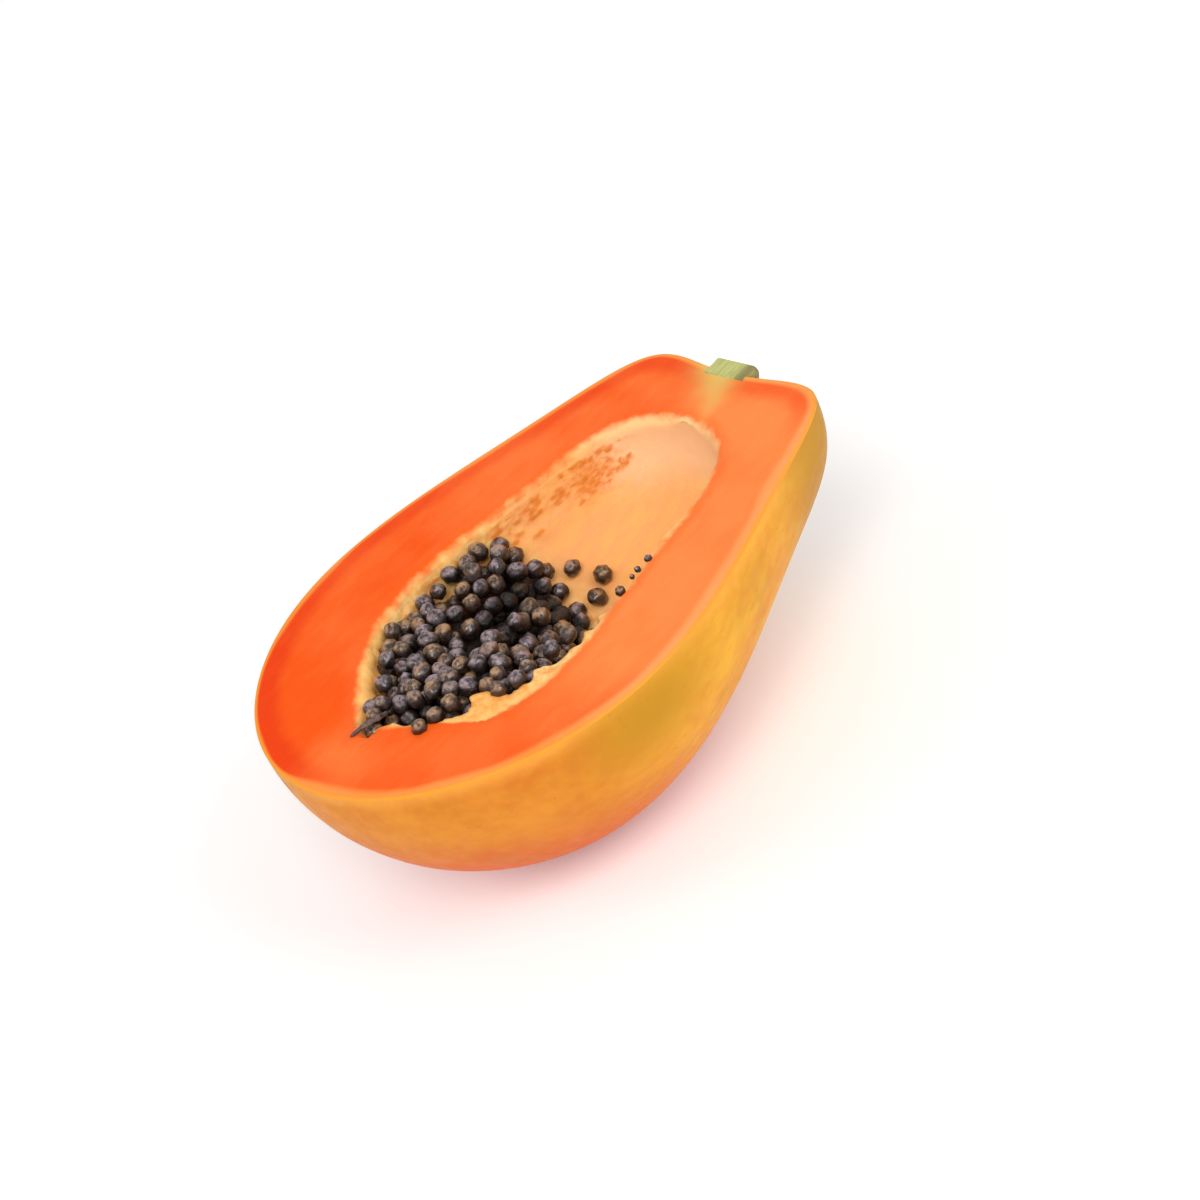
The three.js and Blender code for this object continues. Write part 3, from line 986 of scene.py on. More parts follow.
rind, tree, shader = start_material("rind")
place, axes = place_on_fruit(tree)
drawn_out = lay(tree, "VectorMath", {0: place, 1: DRAWN_OUT}, operation="MULTIPLY").outputs[0]
ripe = patches(tree, drawn_out, paint(246, 184, 52), paint(232, 150, 44), 22.0, 3.0, 0.36)["Color"]
riper = patches(tree, drawn_out, paint(226, 144, 46), paint(210, 118, 36), 18.0, 3.0, 0.36)["Color"]
ripe = blend(tree, rise(tree, axes[0], *BLOSSOM_PART_X), ripe, riper)
tilted_height = sums(tree, "ADD", axes[2], times(tree, axes[0], LOW_DOWN_TILT))
# Darker and redder low down: partly the riper tone, partly painted shade on the underside.
ripe = cover(tree, ripe, rise(tree, tilted_height, *LOW_DOWN_Z), 0.85, paint(222, 94, 20))
near_cut = rise(tree, axes[2], *[(CUT_HEIGHT - below) * MM for below in NEAR_CUT])
# A paler band just under the cut: partly the rind's yellower edge, partly painted highlight along the
# top.
ripe = cover(tree, ripe, near_cut, 0.45, paint(248, 172, 74))

from_patch = lay(tree, "VectorMath", {0: drawn_out, 1: OLIVE_PATCH}, operation="DISTANCE")
olive_patch = rise(tree, from_patch.outputs["Value"], OLIVE_PATCH_RADIUS, 0.0)
green_end = rise(tree, axes[0], *GREEN_END_X)
green_clouds = rise(tree, clouds(tree, drawn_out, 17.0, 4.0), 0.52, 0.7)
unripe = times(tree, green_end, 0.85)
for greener, share in ((green_clouds, 0.3), (olive_patch, 0.9)):
    unripe = sums(tree, "MAXIMUM", unripe, times(tree, greener, share))
skin_colour = blend(tree, unripe, ripe, paint(192, 136, 30))
print("the rind has", len(tree.nodes), "nodes so far")

# %% [markdown]
# ## Specks and wax
# Small corky specks stay on the ripe skin. They are the cells of a Voronoi pattern, shrunk to
# dots, and clouds thin them out. Over everything lies a thin, slightly waxy shine.

# %% Specks and wax
SPECKS_PER_METRE = 330.0

dots = lay(tree, "TexVoronoi", {"Vector": place, "Scale": SPECKS_PER_METRE}, feature="F1").outputs[0]
speck = times(tree, rise(tree, dots, 0.2, 0.1), rise(tree, clouds(tree, place, 11.0), 0.45, 0.7))
skin_colour = cover(tree, skin_colour, speck, 0.4, paint(176, 112, 52))
give_surface(tree, shader, place, skin_colour, (4.0, 0.6), (0.38, 0.52), 0.1)
shader.inputs["Subsurface Weight"].default_value = 0.06
shader.inputs["Subsurface Radius"].default_value = (1.0, 0.5, 0.2)
shader.inputs["Subsurface Scale"].default_value = 0.002
shader.inputs["IOR"].default_value = 1.18
print(rind.name, "has", len(tree.nodes), "nodes")

# %% [markdown]
# ## Put the fruit together
# The net, its values and its two materials now become one object. It takes the place of the packed
# model's plain half and moves with the whole part.

# %% Put the fruit together
fruit = add_mesh(
    "cut_fruit", fruit_points, fruit_faces, [rind, flesh], fruit_face_materials, fruit_values
)
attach(fruit, "root")
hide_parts("fruit_half")

# %% [markdown]
# ## Shape of the stalk
# The knife went through the stalk as well, so half of it is left, with a rough end where it broke
# off the tree. It is a half lathe shape like the fruit, a little waisted, with its bark ridged
# lengthwise. Its cut face is made of rings that shrink towards the middle.

# %% Shape of the stalk
STEM_BASE_X = 76.8
STEM_RADIUS = 8.3
STEM_OFFSET_Y = 1.8
STEM_WAIST = 0.07
STEM_END_ROUND = 1.1
STEM_END_NARROWS = 0.14
STEM_STEPS = (40, 48)
STEM_EDGE_ROUND = (0.4, 0.4)
STEM_ABOVE_CUT = 0.15
STEM_RINGS = (0.06, 0.16, 0.35, 0.6, 0.82, 0.96)    # share of the way in from the edge
BARK_RIDGES = ((0.025, 9, 0.0), (0.02, 17, 0.3))    # height, how many, twist
BARK, PITH = 0, 1

stem_share = np.linspace(0, 1, STEM_STEPS[0] + 1)
ease = 0.5 - 0.5 * np.cos(math.pi * stem_share)
stem_x = STEM_BASE_X + (STEM_END_X - STEM_BASE_X) * ease
to_end = np.clip((STEM_END_X - stem_x) / STEM_END_ROUND, 0, 1)
end_round = np.sqrt(1 - (1 - to_end) ** 2)
stem_r = STEM_RADIUS * (1 - STEM_WAIST * np.sin(math.pi * stem_share))
stem_r *= 1 - STEM_END_NARROWS * (1 - end_round)
stem_r[0] = stem_r[-1] = 0
stem_net = half_turned(stem_x, stem_r, STEM_EDGE_ROUND, STEM_STEPS[1])
stem_around = turned_round(stem_net)
ridges = 1 + sum(
    height * np.sin(count * stem_around + twist * stem_net[..., 0])
    for height, count, twist in BARK_RIDGES
)
stem_net[..., 1:] *= ridges[..., None]

stem_points = flatten_net(stem_net)
stem_points[:, 1] += STEM_OFFSET_Y
stem_numbers = numbered(0, *stem_net.shape[:2])
stem_loop = edge_loop(stem_numbers)
stem_middle = np.array([(STEM_BASE_X + STEM_END_X) / 2, STEM_OFFSET_Y, 0.0])
stem_edge = stem_points[stem_loop]
stem_cut = stem_edge + np.array(STEM_RINGS)[:, None, None] * (stem_middle - stem_edge)
stem_cut[..., 2] = STEM_ABOVE_CUT
stem_cut_numbers = len(stem_points) + np.arange(stem_cut[..., 0].size).reshape(stem_cut.shape[:2])
stem_all = np.vstack([stem_points, stem_cut.reshape(-1, 3)])
stem_all += 0.10 * uneven(stem_all, 1.3, 41)[:, None] * np.array([1, 0, 1])
hub = np.full((1, len(stem_loop)), len(stem_all))
stem_all = np.vstack([stem_all, stem_middle + [0, 0, STEM_ABOVE_CUT]])
bark_faces = net_faces(stem_numbers)
pith_faces = net_faces(np.vstack([stem_loop, stem_cut_numbers, hub]), wraps=True)
stem_faces = np.vstack([bark_faces, pith_faces])
stem_face_materials = np.where(np.arange(len(stem_faces)) < len(bark_faces), BARK, PITH)
print("stalk:", round(STEM_END_X - STEM_BASE_X, 1), "mm long,", len(stem_faces), "faces")

# %% [markdown]
# ## Bark and pith
# The bark is grey-green and dry, and brown at the broken end. The cut face inside it is pale green
# and fibrous, with a darker rim on the near side. Both are long thin clouds in two colours, which
# also give the relief, because a fibre that shows is a fibre that stands up.

# %% Bark and pith
FIBRES_SHOW = (0.35, 0.65)
BROKEN_END_X = (0.0890, 0.0902)
DARK_RIM_Y = (-0.0005, -0.0042)

bark, tree, shader = start_material("bark")
place, axes = place_on_fruit(tree)
fibres = clouds(tree, place, 0.8, 3.0, 0.6, (7, 1, 1))
bark_colour = blend(tree, rise(tree, fibres, *FIBRES_SHOW), paint(120, 116, 66), paint(170, 160, 96))
bark_colour = blend(tree, rise(tree, axes[0], *BROKEN_END_X), bark_colour, paint(118, 92, 58))
give_surface(tree, shader, place, bark_colour, (1.2, 0.4), (0.6, 0.8), 0.2, fibres)

pith, tree, shader = start_material("pith")
place, axes = place_on_fruit(tree)
fibres = clouds(tree, place, 0.9, 3.0, 0.6, (8, 1, 1))
pith_colour = blend(tree, rise(tree, fibres, *FIBRES_SHOW), paint(176, 176, 98), paint(200, 200, 124))
pith_colour = cover(tree, pith_colour, rise(tree, axes[1], *DARK_RIM_Y), 0.8, paint(116, 106, 58))
give_surface(tree, shader, place, pith_colour, (1.2, 0.4), (0.45, 0.65), 0.15, fibres)

stem = add_mesh("stem_half", stem_all, stem_faces, [bark, pith], stem_face_materials)
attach(stem, "root")
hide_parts("stem_stub")

# %% [markdown]
# ## The lie of the seed heap
# The seeds fill the blossom end of the cavity and fall away towards the stalk. Along the near wall
# they stand level with the cut, along the far wall they lie lower, and between the two banks runs
# a valley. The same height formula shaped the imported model's heap, so the seeds cover just that.

# %% The lie of the seed heap
HEAP_NEAR_HEIGHT = 1.5
HEAP_FAR_HEIGHT = -3.0
HEAP_BANKS_Y = (-12, 20)
HEAP_VALLEY_DEPTH = 14.0
HEAP_VALLEY_Y = (1, 11)
HEAP_VALLEY_TURNS_X = (-46, -6)
HEAP_VALLEY_HALF_WIDTH = 8.5
HEAP_VALLEY_X = (-54, -22)
HEAP_FRONT_X = (-40, 2)
HEAP_FRONT_Y = (-20, 20)
HEAP_FRONT_SLOPE = 1.2


def between(low_high, part):
    return low_high[0] + (low_high[1] - low_high[0]) * part


def bank_top(y):
    """Height of the banks over the cut face, in mm, as if there were no valley and no front."""
    return between((HEAP_NEAR_HEIGHT, HEAP_FAR_HEIGHT), smoothstep(y, *HEAP_BANKS_Y))


def valley_line(x):
    """y of the bottom of the valley between the banks."""
    return between(HEAP_VALLEY_Y, smoothstep(x, *HEAP_VALLEY_TURNS_X))


def heap_top(x, y):
    """Height of the top of the heap over the cut face, in mm."""
    valley = HEAP_VALLEY_DEPTH * smoothstep(x, *HEAP_VALLEY_X)
    valley = valley * np.exp(-(((y - valley_line(x)) / HEAP_VALLEY_HALF_WIDTH) ** 2))
    front_x = between(HEAP_FRONT_X, smoothstep(y, *HEAP_FRONT_Y))
    return bank_top(y) - valley - HEAP_FRONT_SLOPE * np.maximum(0, x - front_x)


print("top of the heap at the near and far wall:", HEAP_NEAR_HEIGHT, "and", HEAP_FAR_HEIGHT, "mm")

# %% [markdown]
# ## Core of the heap
# Only the upper seeds can be seen, so the inside of the heap is one dark lump. It is two nets, one
# along the wall and one under the seeds, which meet round the edge.

# %% Core of the heap
CORE_UNDER_SEEDS = 7.4
CORE_OFF_WALL = 0.7
CORE_WIDTH = 0.94           # share of the cavity's width
CORE_LEAST = 0.4            # the core ends where it would be thinner than this
CORE_X = (-66.0, 10.0)
CORE_STEPS = (70, 48)

across = np.linspace(-1, 1, CORE_STEPS[1] + 1)[None, :]


def core_heights(x):
    """y, bottom and top of the core at x, for each column across."""
    radius = np.maximum(cavity_radius_at(x) - CORE_OFF_WALL, 0.01)
    y = across * CORE_WIDTH * radius
    bottom = -np.sqrt(radius**2 - y**2)
    y = lipped(x, y, radius)
    return y, bottom, heap_top(x, y) - CORE_UNDER_SEEDS


scan_x = np.linspace(*CORE_X, 300)[:, None]
_, scan_bottom, scan_top = core_heights(scan_x)
is_filled = scan_top - scan_bottom > CORE_LEAST
core_end = np.where(is_filled, scan_x, CORE_X[0] + 5).max(axis=0)
core_share = (0.5 - 0.5 * np.cos(np.linspace(0, math.pi, CORE_STEPS[0] + 1)))[:, None]
core_x = CORE_X[0] + core_share * (core_end - CORE_X[0])
core_y, core_bottom, core_top = core_heights(core_x)
fade = np.sqrt(np.clip(1 - across**6, 0, 1)) * np.sqrt(np.sin(math.pi * core_share).clip(0, 1))
core_top = core_bottom + np.maximum(core_top - core_bottom, 0) * fade
lower_net = np.stack([core_x, core_y, core_bottom], -1)
upper_net = np.stack([core_x, core_y, core_top], -1)
upper_net[..., 2] += 0.5 * fade * uneven(upper_net, 3.5, 51)

upper_inner = upper_net[1:-1, 1:-1]
lower_numbers = np.arange(core_x.size).reshape(core_x.shape)
upper_numbers = lower_numbers.copy()
upper_numbers[1:-1, 1:-1] = core_x.size + np.arange(upper_inner[..., 0].size).reshape(
    upper_inner.shape[:2]
)
core_points = np.vstack([lower_net.reshape(-1, 3), upper_inner.reshape(-1, 3)])
core_faces = np.vstack([net_faces(lower_numbers), net_faces(upper_numbers)[:, ::-1]])
print("the core reaches up to", core_points[:, 2].max().round(1), "mm against the cut face")

# %% [markdown]
# ## Pulp between the seeds
# What shows between the seeds is dark pulp with brown patches, painted near black partly as the
# shade that falls between the seeds. Along the far wall, orange tissue of the fruit shines
# through in places.

# %% Pulp between the seeds
AT_FAR_WALL_Y = (0.023, 0.028)

pulp_and_shade, tree, shader = start_material("pulp_and_shade")
place, axes = place_on_fruit(tree)
# The near-black pulp is partly its own dark colour and partly painted shade between the seeds.
pulp_and_shade_colour = patches(tree, place, paint(14, 7, 5), paint(60, 26, 12), 9.0, 2.0, 0.3, -0.08)["Color"]
at_far_wall = rise(tree, axes[1], *AT_FAR_WALL_Y)
orange_patches = rise(tree, clouds(tree, place, 6.0), 0.45, 0.6)
pulp_and_shade_colour = cover(tree, pulp_and_shade_colour, at_far_wall, orange_patches, paint(206, 92, 28))
give_surface(tree, shader, place, pulp_and_shade_colour, (2.0, 0.6), (0.3, 0.55), 0.4)

core = add_mesh("heap_core", core_points, core_faces, [pulp_and_shade])
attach(core, "root")
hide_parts("seed_heap")

# %% [markdown]
# ## One seed
# A papaya seed is the size of a peppercorn, nearly round, a little pointed at one end, and
# wrinkled lengthwise under a wet, thin skin. A cube whose faces are cut into squares and blown up
# to a ball has evenly spread points and no poles. A few different wrinkle patterns are made, and
# each seed takes one of them.

# %% One seed
SEED_CUTS = 6
SEED_PATTERNS = 7
SEED_SHAPE = (1.1, 0.98, 0.94)
SEED_POINTED = 0.28
WRINKLE_HEIGHT = 0.06
DENT_HEIGHT = 0.10


def ball_net():
    """Points and four-cornered faces of an evenly divided ball of radius 1."""
    shape = bmesh.new()
    bmesh.ops.create_cube(shape, size=2)
    bmesh.ops.subdivide_edges(shape, edges=shape.edges, cuts=SEED_CUTS, use_grid_fill=True)
    shape.verts.index_update()
    points = np.array([v.co for v in shape.verts])
    faces = np.array([[v.index for v in f.verts] for f in shape.faces])
    shape.free()
    points = np.tan(points * math.pi / 4)
    return points / np.linalg.norm(points, axis=1)[:, None], faces


ball_points, ball_faces = ball_net()


def wrinkled_seed(seed):
    """A ball drawn out along X and wrinkled."""
    draw = np.random.default_rng(seed)
    along = ball_points[:, 0]
    turn = np.arctan2(ball_points[:, 2], ball_points[:, 1])
    folds = draw.integers(6, 9)
    wander = 1.2 * np.sin(3 * along + draw.uniform(0, 6.3))
    wrinkles = 1 - 2 * np.abs(np.sin((folds * turn + wander) / 2 + draw.uniform(0, 6.3)))
    swell = 1 + WRINKLE_HEIGHT * wrinkles * np.sqrt(1 - along**2)
    swell += DENT_HEIGHT * uneven(ball_points * 3 + 9, 1.9, seed)
    seed_points = ball_points * swell[:, None] * np.array(SEED_SHAPE)
    pointed = np.clip(along, 0, 1) ** 3
    seed_points[:, 1:] *= (1 - SEED_POINTED * pointed)[:, None]
    return seed_points


seed_patterns = [wrinkled_seed(60 + i) for i in range(SEED_PATTERNS)]
print("a seed has", 2 * len(ball_faces), "triangles")

# %% [markdown]
# ## Seeds placed one by one
# A few seeds have rolled away from the heap and lie on the bare wall, some sit on the rim, and
# crumbs of seed skin stick to the near rim. On the near side seeds lean on the soft edge of the
# lining, and on the far side they lie against the wall. Each is placed one by one. For those on the
# bare wall, the height follows from the wall that carries them.

# %% Seeds placed one by one
LOOSE_IN_CAVITY = ((18.3, 9.5, 2.9), (11.8, 6.7, 2.7), (14.8, 17.0, 2.6))   # x, y, radius
ON_THE_RIM = (                                                               # x, y, z, radius
    (-67.3, -14.4, 0.5, 2.3), (-65.2, 7.6, -0.6, 2.6), (-67.6, 4.4, -0.2, 2.3), (-63.6, 4.6, 0.2, 2.3),
    (-4.9, -33.0, -0.2, 1.5), (0.8, -32.4, 0.0, 0.8), (3.6, -32.0, 0.1, 0.95), (8.0, -32.2, 0.2, 1.15),
)
ON_THE_LIP = (
    (-62.0, -15.2, 0.4, 2.5), (-57.0, -16.4, 0.5, 2.7), (-47.7, -26.6, 0.4, 2.6),
    (-42.6, -29.0, 0.3, 2.7), (-30.0, -30.2, 0.2, 2.6), (-24.0, -30.8, 0.2, 2.5),
)
AT_THE_FAR_WALL = ((-38.5, 27.6, -2.0, 2.6), (-47.8, 20.4, -2.2, 2.5), (-55.6, 13.6, -2.0, 2.5))
SINKS_IN = 0.9      # the soft wall gives way, so a centre lies at this share of its radius


def on_the_wall(x, y, radius):
    """A centre that puts a seed of that radius on the cavity wall at x and y."""
    room = cavity_radius_at(x) - SINKS_IN * radius
    return x, y, -math.sqrt(max(room**2 - (y - cavity_lean(x)) ** 2, 0)), radius


placed = [on_the_wall(*one) for one in LOOSE_IN_CAVITY]
placed = np.array(placed + [*ON_THE_RIM, *ON_THE_LIP, *AT_THE_FAR_WALL])
print(len(placed), "seeds and crumbs placed by hand")

# %% [markdown]
# ## Scattering the seeds
# The heap's shape is known, so seeds are scattered close under its top, in rows that random steps
# make uneven. A second layer lies half a row further on and deeper, and fills the gaps. Seeds are
# left out where they would stick in the wall, in the lip, in a seed placed one by one or in the bare
# patch at the pointed end.

# %% Scattering the seeds
SEED_RADIUS = (2.35, 3.0)
SEED_PITCH = 5.4
SEED_JITTER = 0.8
LAYER_DROP = 4.2
LAYER_SHIFT = (SEED_PITCH / 2, 1.5, 0)
SEEDS_UNDER_TOP = 2.2      # the centres of the upper seeds lie this far below the heap's top
SCATTER_X = (-74, 24)
SCATTER_Y = (-40, 34)
HEAP_LUMPS = 1.8
LEAST_WALL_ROOM = (0.4, 1.6)      # in the upper and in the second layer
SHARE_LEFT_OUT = 0.12
FAR_BANK = (-48, 14)       # beyond this x and y half of the second layer is left out
FAR_BANK_LEFT_OUT = 0.5
FREE_OF_LIP = 0.8
TOO_NEAR_PLACED = 3.0
STRAND_ROOM = (-65.6, -1.5, 3.4)  # x, y and radius of a bare patch of lining at the pointed end

draw = np.random.default_rng(5)


def scattered(drop):
    """Seed centres at a depth below the heap's top, in uneven rows."""
    centres = []
    for i, y in enumerate(np.arange(*SCATTER_Y, SEED_PITCH * math.sqrt(3) / 2)):
        x = np.arange(*SCATTER_X, SEED_PITCH) + (i % 2) * SEED_PITCH / 2
        x = x + draw.normal(0, SEED_JITTER, len(x))
        row_y = y + draw.normal(0, SEED_JITTER, len(x))
        lumps = HEAP_LUMPS * uneven(np.c_[x, row_y, 0 * x], 11.0, 71)
        centres.append(np.c_[x, row_y, heap_top(x, row_y) - drop + lumps])
    return np.vstack(centres)


def from_middle(centres):
    """y of each centre from the cavity's middle line, as if there were no lip."""
    x, y = centres[:, 0], centres[:, 1] - cavity_lean(centres[:, 0])
    return y - near_lip(x, -y / np.maximum(cavity_radius_at(x), 1e-9))


def wall_room(centres):
    """How far each centre lies inside the cavity wall, in mm."""
    return cavity_radius_at(centres[:, 0]) - np.hypot(from_middle(centres), centres[:, 2])


top_layer = scattered(SEEDS_UNDER_TOP)
next_layer = scattered(SEEDS_UNDER_TOP + LAYER_DROP) + LAYER_SHIFT
seeds = np.vstack([top_layer, next_layer])
is_next = np.arange(len(seeds)) >= len(top_layer)
is_far_bank = (seeds[:, 0] > FAR_BANK[0]) & (seeds[:, 1] > FAR_BANK[1])
left_out = np.where(is_far_bank & is_next, FAR_BANK_LEFT_OUT, SHARE_LEFT_OUT)
lip_y = cavity_lean(seeds[:, 0]) + near_lip(seeds[:, 0]) - cavity_radius_at(seeds[:, 0])
to_strand_room = np.hypot(seeds[:, 0] - STRAND_ROOM[0], seeds[:, 1] - STRAND_ROOM[1])
to_placed = np.linalg.norm(seeds[:, None] - placed[None, :, :3], axis=-1).min(axis=1)
is_in = wall_room(seeds) > np.where(is_next, LEAST_WALL_ROOM[1], LEAST_WALL_ROOM[0])
is_in &= draw.uniform(0, 1, len(seeds)) > left_out
is_in &= seeds[:, 1] > lip_y + FREE_OF_LIP
is_in &= to_strand_room > STRAND_ROOM[2]
is_in &= to_placed > TOO_NEAR_PLACED
seeds = seeds[is_in]
seeds[:, 2] += draw.normal(0, SEED_JITTER, len(seeds))
seed_radii = np.append(placed[:, 3], draw.uniform(*SEED_RADIUS, len(seeds)))
seeds = np.vstack([placed[:, :3], seeds])
print(len(seeds), "seeds scattered or placed")

# %% [markdown]
# ## Settling the seeds
# Seeds could be dropped in a physics simulation, but as they already lie close to their places, it
# is quicker to push apart the ones that overlap, until each has its own room. Seeds pushed up out
# of the valley are taken away, because the valley is what is seen first.

# %% Settling the seeds
SETTLING_ROUNDS = 45
PUSH_APART = 0.3           # share of an overlap that one round takes away
PULL_BACK = 0.05           # share of a seed's rise or fall that one round takes back
TOUCHING = 0.98            # seeds touch when their centres are this share of both radii apart
WALL_CLEARANCE = 0.6       # share of a seed's radius that it keeps from the soft wall
HIGHEST_TOP = 3.4          # no seed rises higher over the cut face, in mm
STANDS_OUT = 0.2           # seeds whose centres were pushed this far above the heap's top leave
CLEAR_OF_VALLEY = 9.5      # the valley free, up to this far from its line
CLEAR_FROM_X = -44

wanted = seeds.copy()
for _ in range(SETTLING_ROUNDS):
    gap = seeds[:, None] - seeds[None]
    length = np.linalg.norm(gap, axis=-1)
    np.fill_diagonal(length, np.inf)
    overlap = np.clip(TOUCHING * (seed_radii[:, None] + seed_radii) - length, 0, None)
    seeds += PUSH_APART * (gap / length[..., None] * overlap[..., None]).sum(1)
    seeds[:, 2] += PULL_BACK * (wanted[:, 2] - seeds[:, 2])
    seeds[:, 2] = np.minimum(seeds[:, 2], HIGHEST_TOP - seed_radii)
    short = np.clip(WALL_CLEARANCE * seed_radii - wall_room(seeds), 0, None)
    inwards = np.c_[np.zeros(len(seeds)), -from_middle(seeds), -seeds[:, 2]]
    seeds += short[:, None] * inwards / np.maximum(np.linalg.norm(inwards, axis=1), 1e-9)[:, None]
    seeds[: len(placed)] = wanted[: len(placed)]

from_valley = np.abs(seeds[:, 1] - valley_line(seeds[:, 0]))
stands_out = seeds[:, 2] - heap_top(seeds[:, 0], seeds[:, 1]) > STANDS_OUT
fills_valley = stands_out & (from_valley < CLEAR_OF_VALLEY) & (seeds[:, 0] > CLEAR_FROM_X)
fills_valley[: len(placed)] = False
seeds, seed_radii = seeds[~fills_valley], seed_radii[~fills_valley]
print(len(seeds), "seeds in all; highest top", (seeds[:, 2] + seed_radii).max().round(2), "mm")
print(fills_valley.sum(), "seeds taken out of the valley")

# %% [markdown]
# ## Seed coat
# Each seed is nearly black, and the tint differs from seed to seed. On the upper side of the upper
# seeds, grey-violet or brownish patches are painted highlight, and deeper seeds get less of them,
# which is painted shade. A clear coat over a rougher base gives the shine of a wet seed. Deep in the
# valley the seeds are painted black as shade, and hardly shine.

# %% Seed coat
HIGHLIGHT_UNDER_TOP = (5.5, 1.0)     # mm below the heap's top
HIGHLIGHT_FACING_UP = (0.25, 0.9)    # as shares of the seed's radius
VALLEY_SHADE_DEPTH = (1.8, 6.5)           # mm below the banks

seed_coat, tree, shader = start_material("seed_coat")
place, axes = place_on_fruit(tree)
tint = value_on_mesh(tree, "tint")
dark = blend(tree, tint, paint(14, 6, 4), paint(52, 28, 16))
# Painted highlight: grey-violet and tan patches on the upward side of the seeds near the heap's top;
# deeper seeds get less of them, which is painted shade.
highlight_patches = patches(tree, place, paint(0, 0, 0), paint(255, 255, 255), 2.0, 0.8, 0.2)["Mask"]
highlight_near_top = rise(tree, value_on_mesh(tree, "buried"), *HIGHLIGHT_UNDER_TOP)
highlight_side = rise(tree, value_on_mesh(tree, "facing_up"), *HIGHLIGHT_FACING_UP)
highlight_colour = blend(tree, rise(tree, tint, 0.3, 0.7), paint(162, 138, 144), paint(180, 136, 90))
coat_colour = cover(tree, dark, highlight_patches, times(tree, highlight_near_top, highlight_side), highlight_colour)
# Painted shade: seeds deep in the valley are darkened to near black and lose most of their coat's shine.
valley_shade = rise(tree, value_on_mesh(tree, "valley_shade_depth"), *VALLEY_SHADE_DEPTH)
coat_colour = cover(tree, coat_colour, valley_shade, 0.9, paint(16, 8, 5))
give_surface(tree, shader, place, coat_colour, (1.0, 0.35), (0.3, 0.55), 0.4)
feed(tree, shader.inputs["Coat Weight"], rise(tree, valley_shade, 1.0, 0.0, 0.0, 0.8))
shader.inputs["Coat Roughness"].default_value = 0.13
shader.inputs["Coat IOR"].default_value = 1.45
print(seed_coat.name, "has", len(tree.nodes), "nodes")

# %% [markdown]
# ## Every seed of the heap
# Each seed takes one of the patterns, its own size and its own turn. Its points also get the
# numbers that its coat reads: the seed's tint, how deep the point lies under the heap's top and
# in the valley, and how far it faces up. The last three place the painted highlight and shade.

# %% Every seed of the heap
SHADE_WIDER = 1.25          # the painted shade in the valley, against the valley's own width
SHADE_ENDS_X = (5, -3)
SHADE_TURNS_X = (-10, -28)  # towards the blossom end it runs on the near side of the valley
SHADE_TO_NEAR = 4.5


def random_turns(count):
    """Rotation matrices that turn each seed another way."""
    spin = draw.normal(size=(count, 4))
    turns = [Quaternion(q).normalized().to_matrix() for q in spin.tolist()]
    return np.array([np.array(t) for t in turns])


def shade_depth_in_valley(x, y, z):
    """How deep a point lies below the banks, in mm, fading out beside the stretch painted dark as shade.
    """
    shade_line = valley_line(x) - SHADE_TO_NEAR * smoothstep(x, *SHADE_TURNS_X)
    from_line = (y - shade_line) / (SHADE_WIDER * HEAP_VALLEY_HALF_WIDTH)
    in_valley = np.exp(-(from_line**2)) * smoothstep(x, *SHADE_ENDS_X)
    return (bank_top(y) - z) * in_valley


def all_seeds(centres, radii):
    """Points and faces of all seeds, and the values on their points."""
    turns = random_turns(len(centres))
    shapes = draw.integers(0, SEED_PATTERNS, len(centres))
    points = np.vstack([
        seed_patterns[s] @ turn.T * radius + centre
        for s, turn, radius, centre in zip(shapes, turns, radii, centres)
    ])
    steps = len(ball_points) * np.arange(len(centres))
    faces = (ball_faces[None] + steps[:, None, None]).reshape(-1, 4)
    centre_z = np.repeat(centres[:, 2], len(ball_points))
    x, y, z = points.T
    values = {
        "tint": np.repeat(draw.uniform(0, 1, len(centres)), len(ball_points)),
        "buried": heap_top(x, y) - z,
        "valley_shade_depth": shade_depth_in_valley(x, y, z),
        "facing_up": (z - centre_z) / np.repeat(radii, len(ball_points)),
    }
    return points, faces, values


draw = np.random.default_rng(8)
points, faces, values = all_seeds(seeds, seed_radii)
seed_heap = add_mesh("seeds", points, faces, [seed_coat], values=values)
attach(seed_heap, "root")
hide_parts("seed_heap")

# %% [markdown]
# ## Dried strand
# A shrivelled strand of the tissue that held the seeds hangs out of the pointed end of the cavity
# and lies on the cut face. It is a thin tube along a few points, twisted, flattened and lumpy,
# because a dried strand is never round.

# %% Dried strand
STRAND_PATH = np.array([
    (-64.5, 3.4, -2.0), (-67.5, 1.4, 0.6), (-71.0, 1.8, 0.8), (-74.0, 3.4, 0.8), (-77.0, 4.3, 0.4),
])
STRAND_HALF_WIDTH = (1.1, 0.65)
STRAND_FLATNESS = 0.8
STRAND_TWIST = 2.2
STRAND_STEPS = (44, 16)
CUBIC = 3

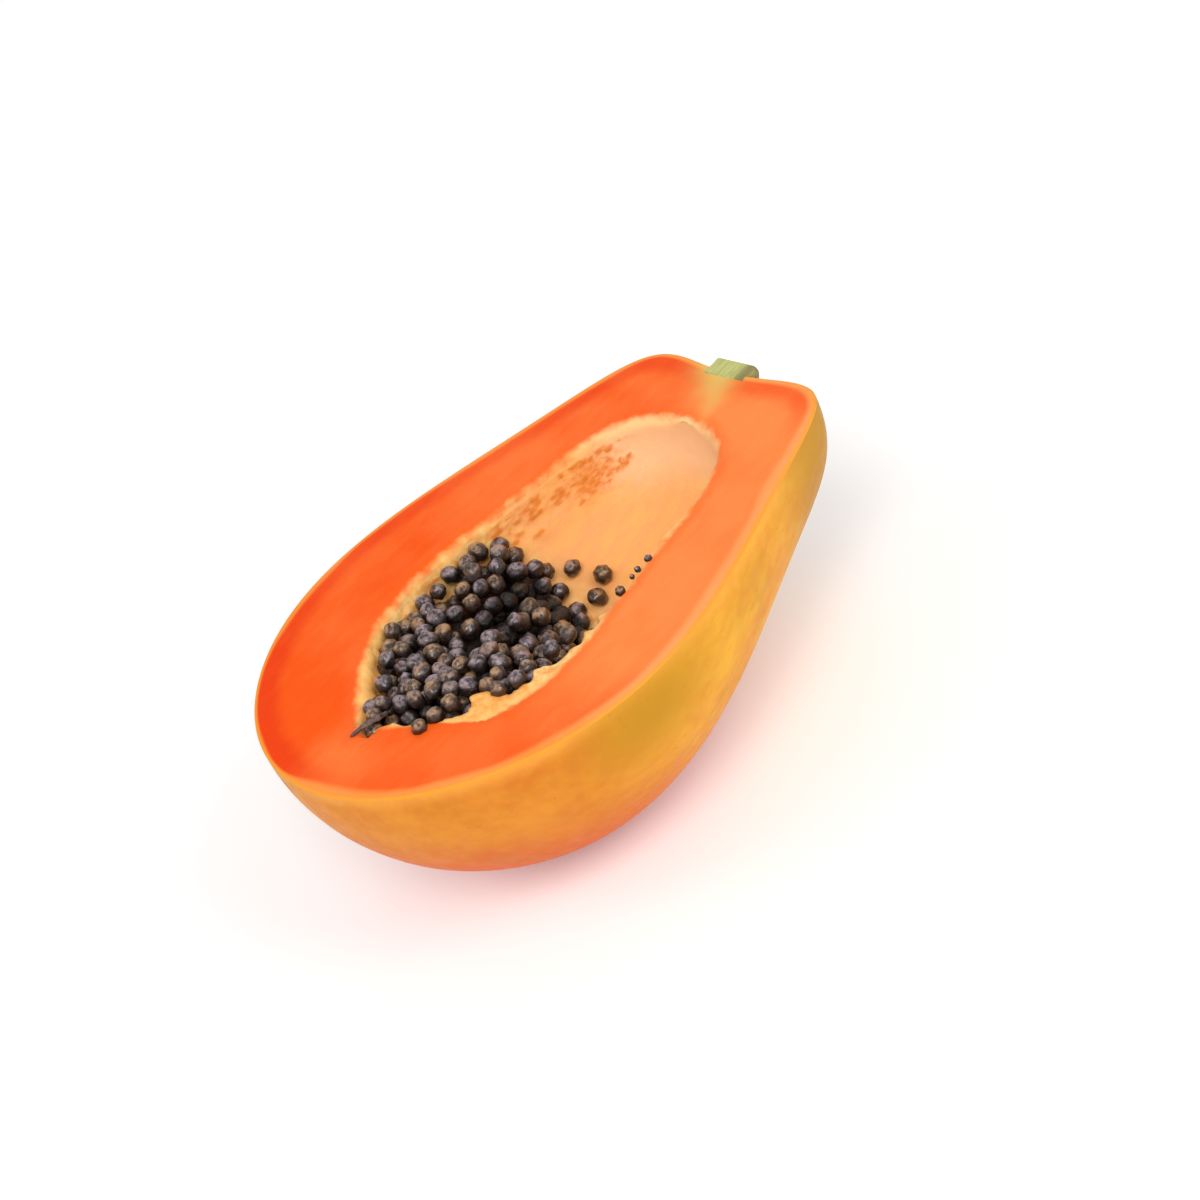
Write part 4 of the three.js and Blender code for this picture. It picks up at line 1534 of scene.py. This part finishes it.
share = np.linspace(0, 1, STRAND_STEPS[0] + 1)[:, None]
turn = np.linspace(0, 2 * math.pi, STRAND_STEPS[1] + 1)[None, :] + STRAND_TWIST * share
smoothing = np.polyfit(np.linspace(0, 1, len(STRAND_PATH)), STRAND_PATH, CUBIC)
strand_middle = sum(c * share ** (CUBIC - i) for i, c in enumerate(smoothing))
strand_along = np.gradient(strand_middle, axis=0)
strand_side = np.cross(strand_along, [0, 0, 1])
strand_side /= np.linalg.norm(strand_side, axis=1)[:, None]
strand_up = np.cross(strand_side, strand_along)
strand_up /= np.linalg.norm(strand_up, axis=1)[:, None]
half_width = between(STRAND_HALF_WIDTH, share) * np.sin(math.pi * share) ** 0.25
half_width = half_width * (1 + 0.22 * np.sin(3 * turn + 9 * share) + 0.15 * np.sin(23 * share))
wide = (half_width * np.cos(turn))[..., None] * strand_side[:, None]
high = (half_width * np.sin(turn))[..., None] * strand_up[:, None]
strand_net = strand_middle[:, None] + wide + STRAND_FLATNESS * high
strand_numbers = numbered(0, *strand_net.shape[:2])
strand_numbers[:, -1] = strand_numbers[:, 0]

dried_tissue, tree, shader = start_material("dried_tissue")
place, axes = place_on_fruit(tree)
strand_colour = patches(tree, place, paint(52, 34, 30), paint(128, 102, 94), 1.6, 0.6, 0.4)["Color"]
give_surface(tree, shader, place, strand_colour, (0.9, 0.3), (0.45, 0.7), 0.3)
strand = add_mesh("dried_strand", flatten_net(strand_net), net_faces(strand_numbers), [dried_tissue])
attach(strand, "root")

# %% [markdown]
# ## Floor
# A plain pale floor takes the soft shadow of the fruit, and throws light back up at the rind.

# %% Floor
FLOOR_HALF_WIDTH = 3.0
FLOOR_BELOW = 0.0002

floor_mesh = bpy.data.meshes.new("floor")
corners = [(-1, -1), (1, -1), (1, 1), (-1, 1)]
floor_corners = [(FLOOR_HALF_WIDTH * a, FLOOR_HALF_WIDTH * b, -FLOOR_BELOW) for a, b in corners]
floor_mesh.from_pydata(floor_corners, [], [(0, 1, 2, 3)])
floor = bpy.data.objects.new("floor", floor_mesh)
bpy.context.scene.collection.objects.link(floor)
pale_floor, tree, shader = start_material("pale_floor")
shader.inputs["Base Color"].default_value = (0.88, 0.86, 0.83, 1)
shader.inputs["Emission Color"].default_value = (0.76, 0.86, 1, 1)
shader.inputs["Emission Strength"].default_value = 0.22
shader.inputs["Roughness"].default_value = 0.9
floor_mesh.materials.append(pale_floor)
print("floor", 2 * FLOOR_HALF_WIDTH, "m wide,", round(FLOOR_BELOW / MM, 1), "mm under the fruit")
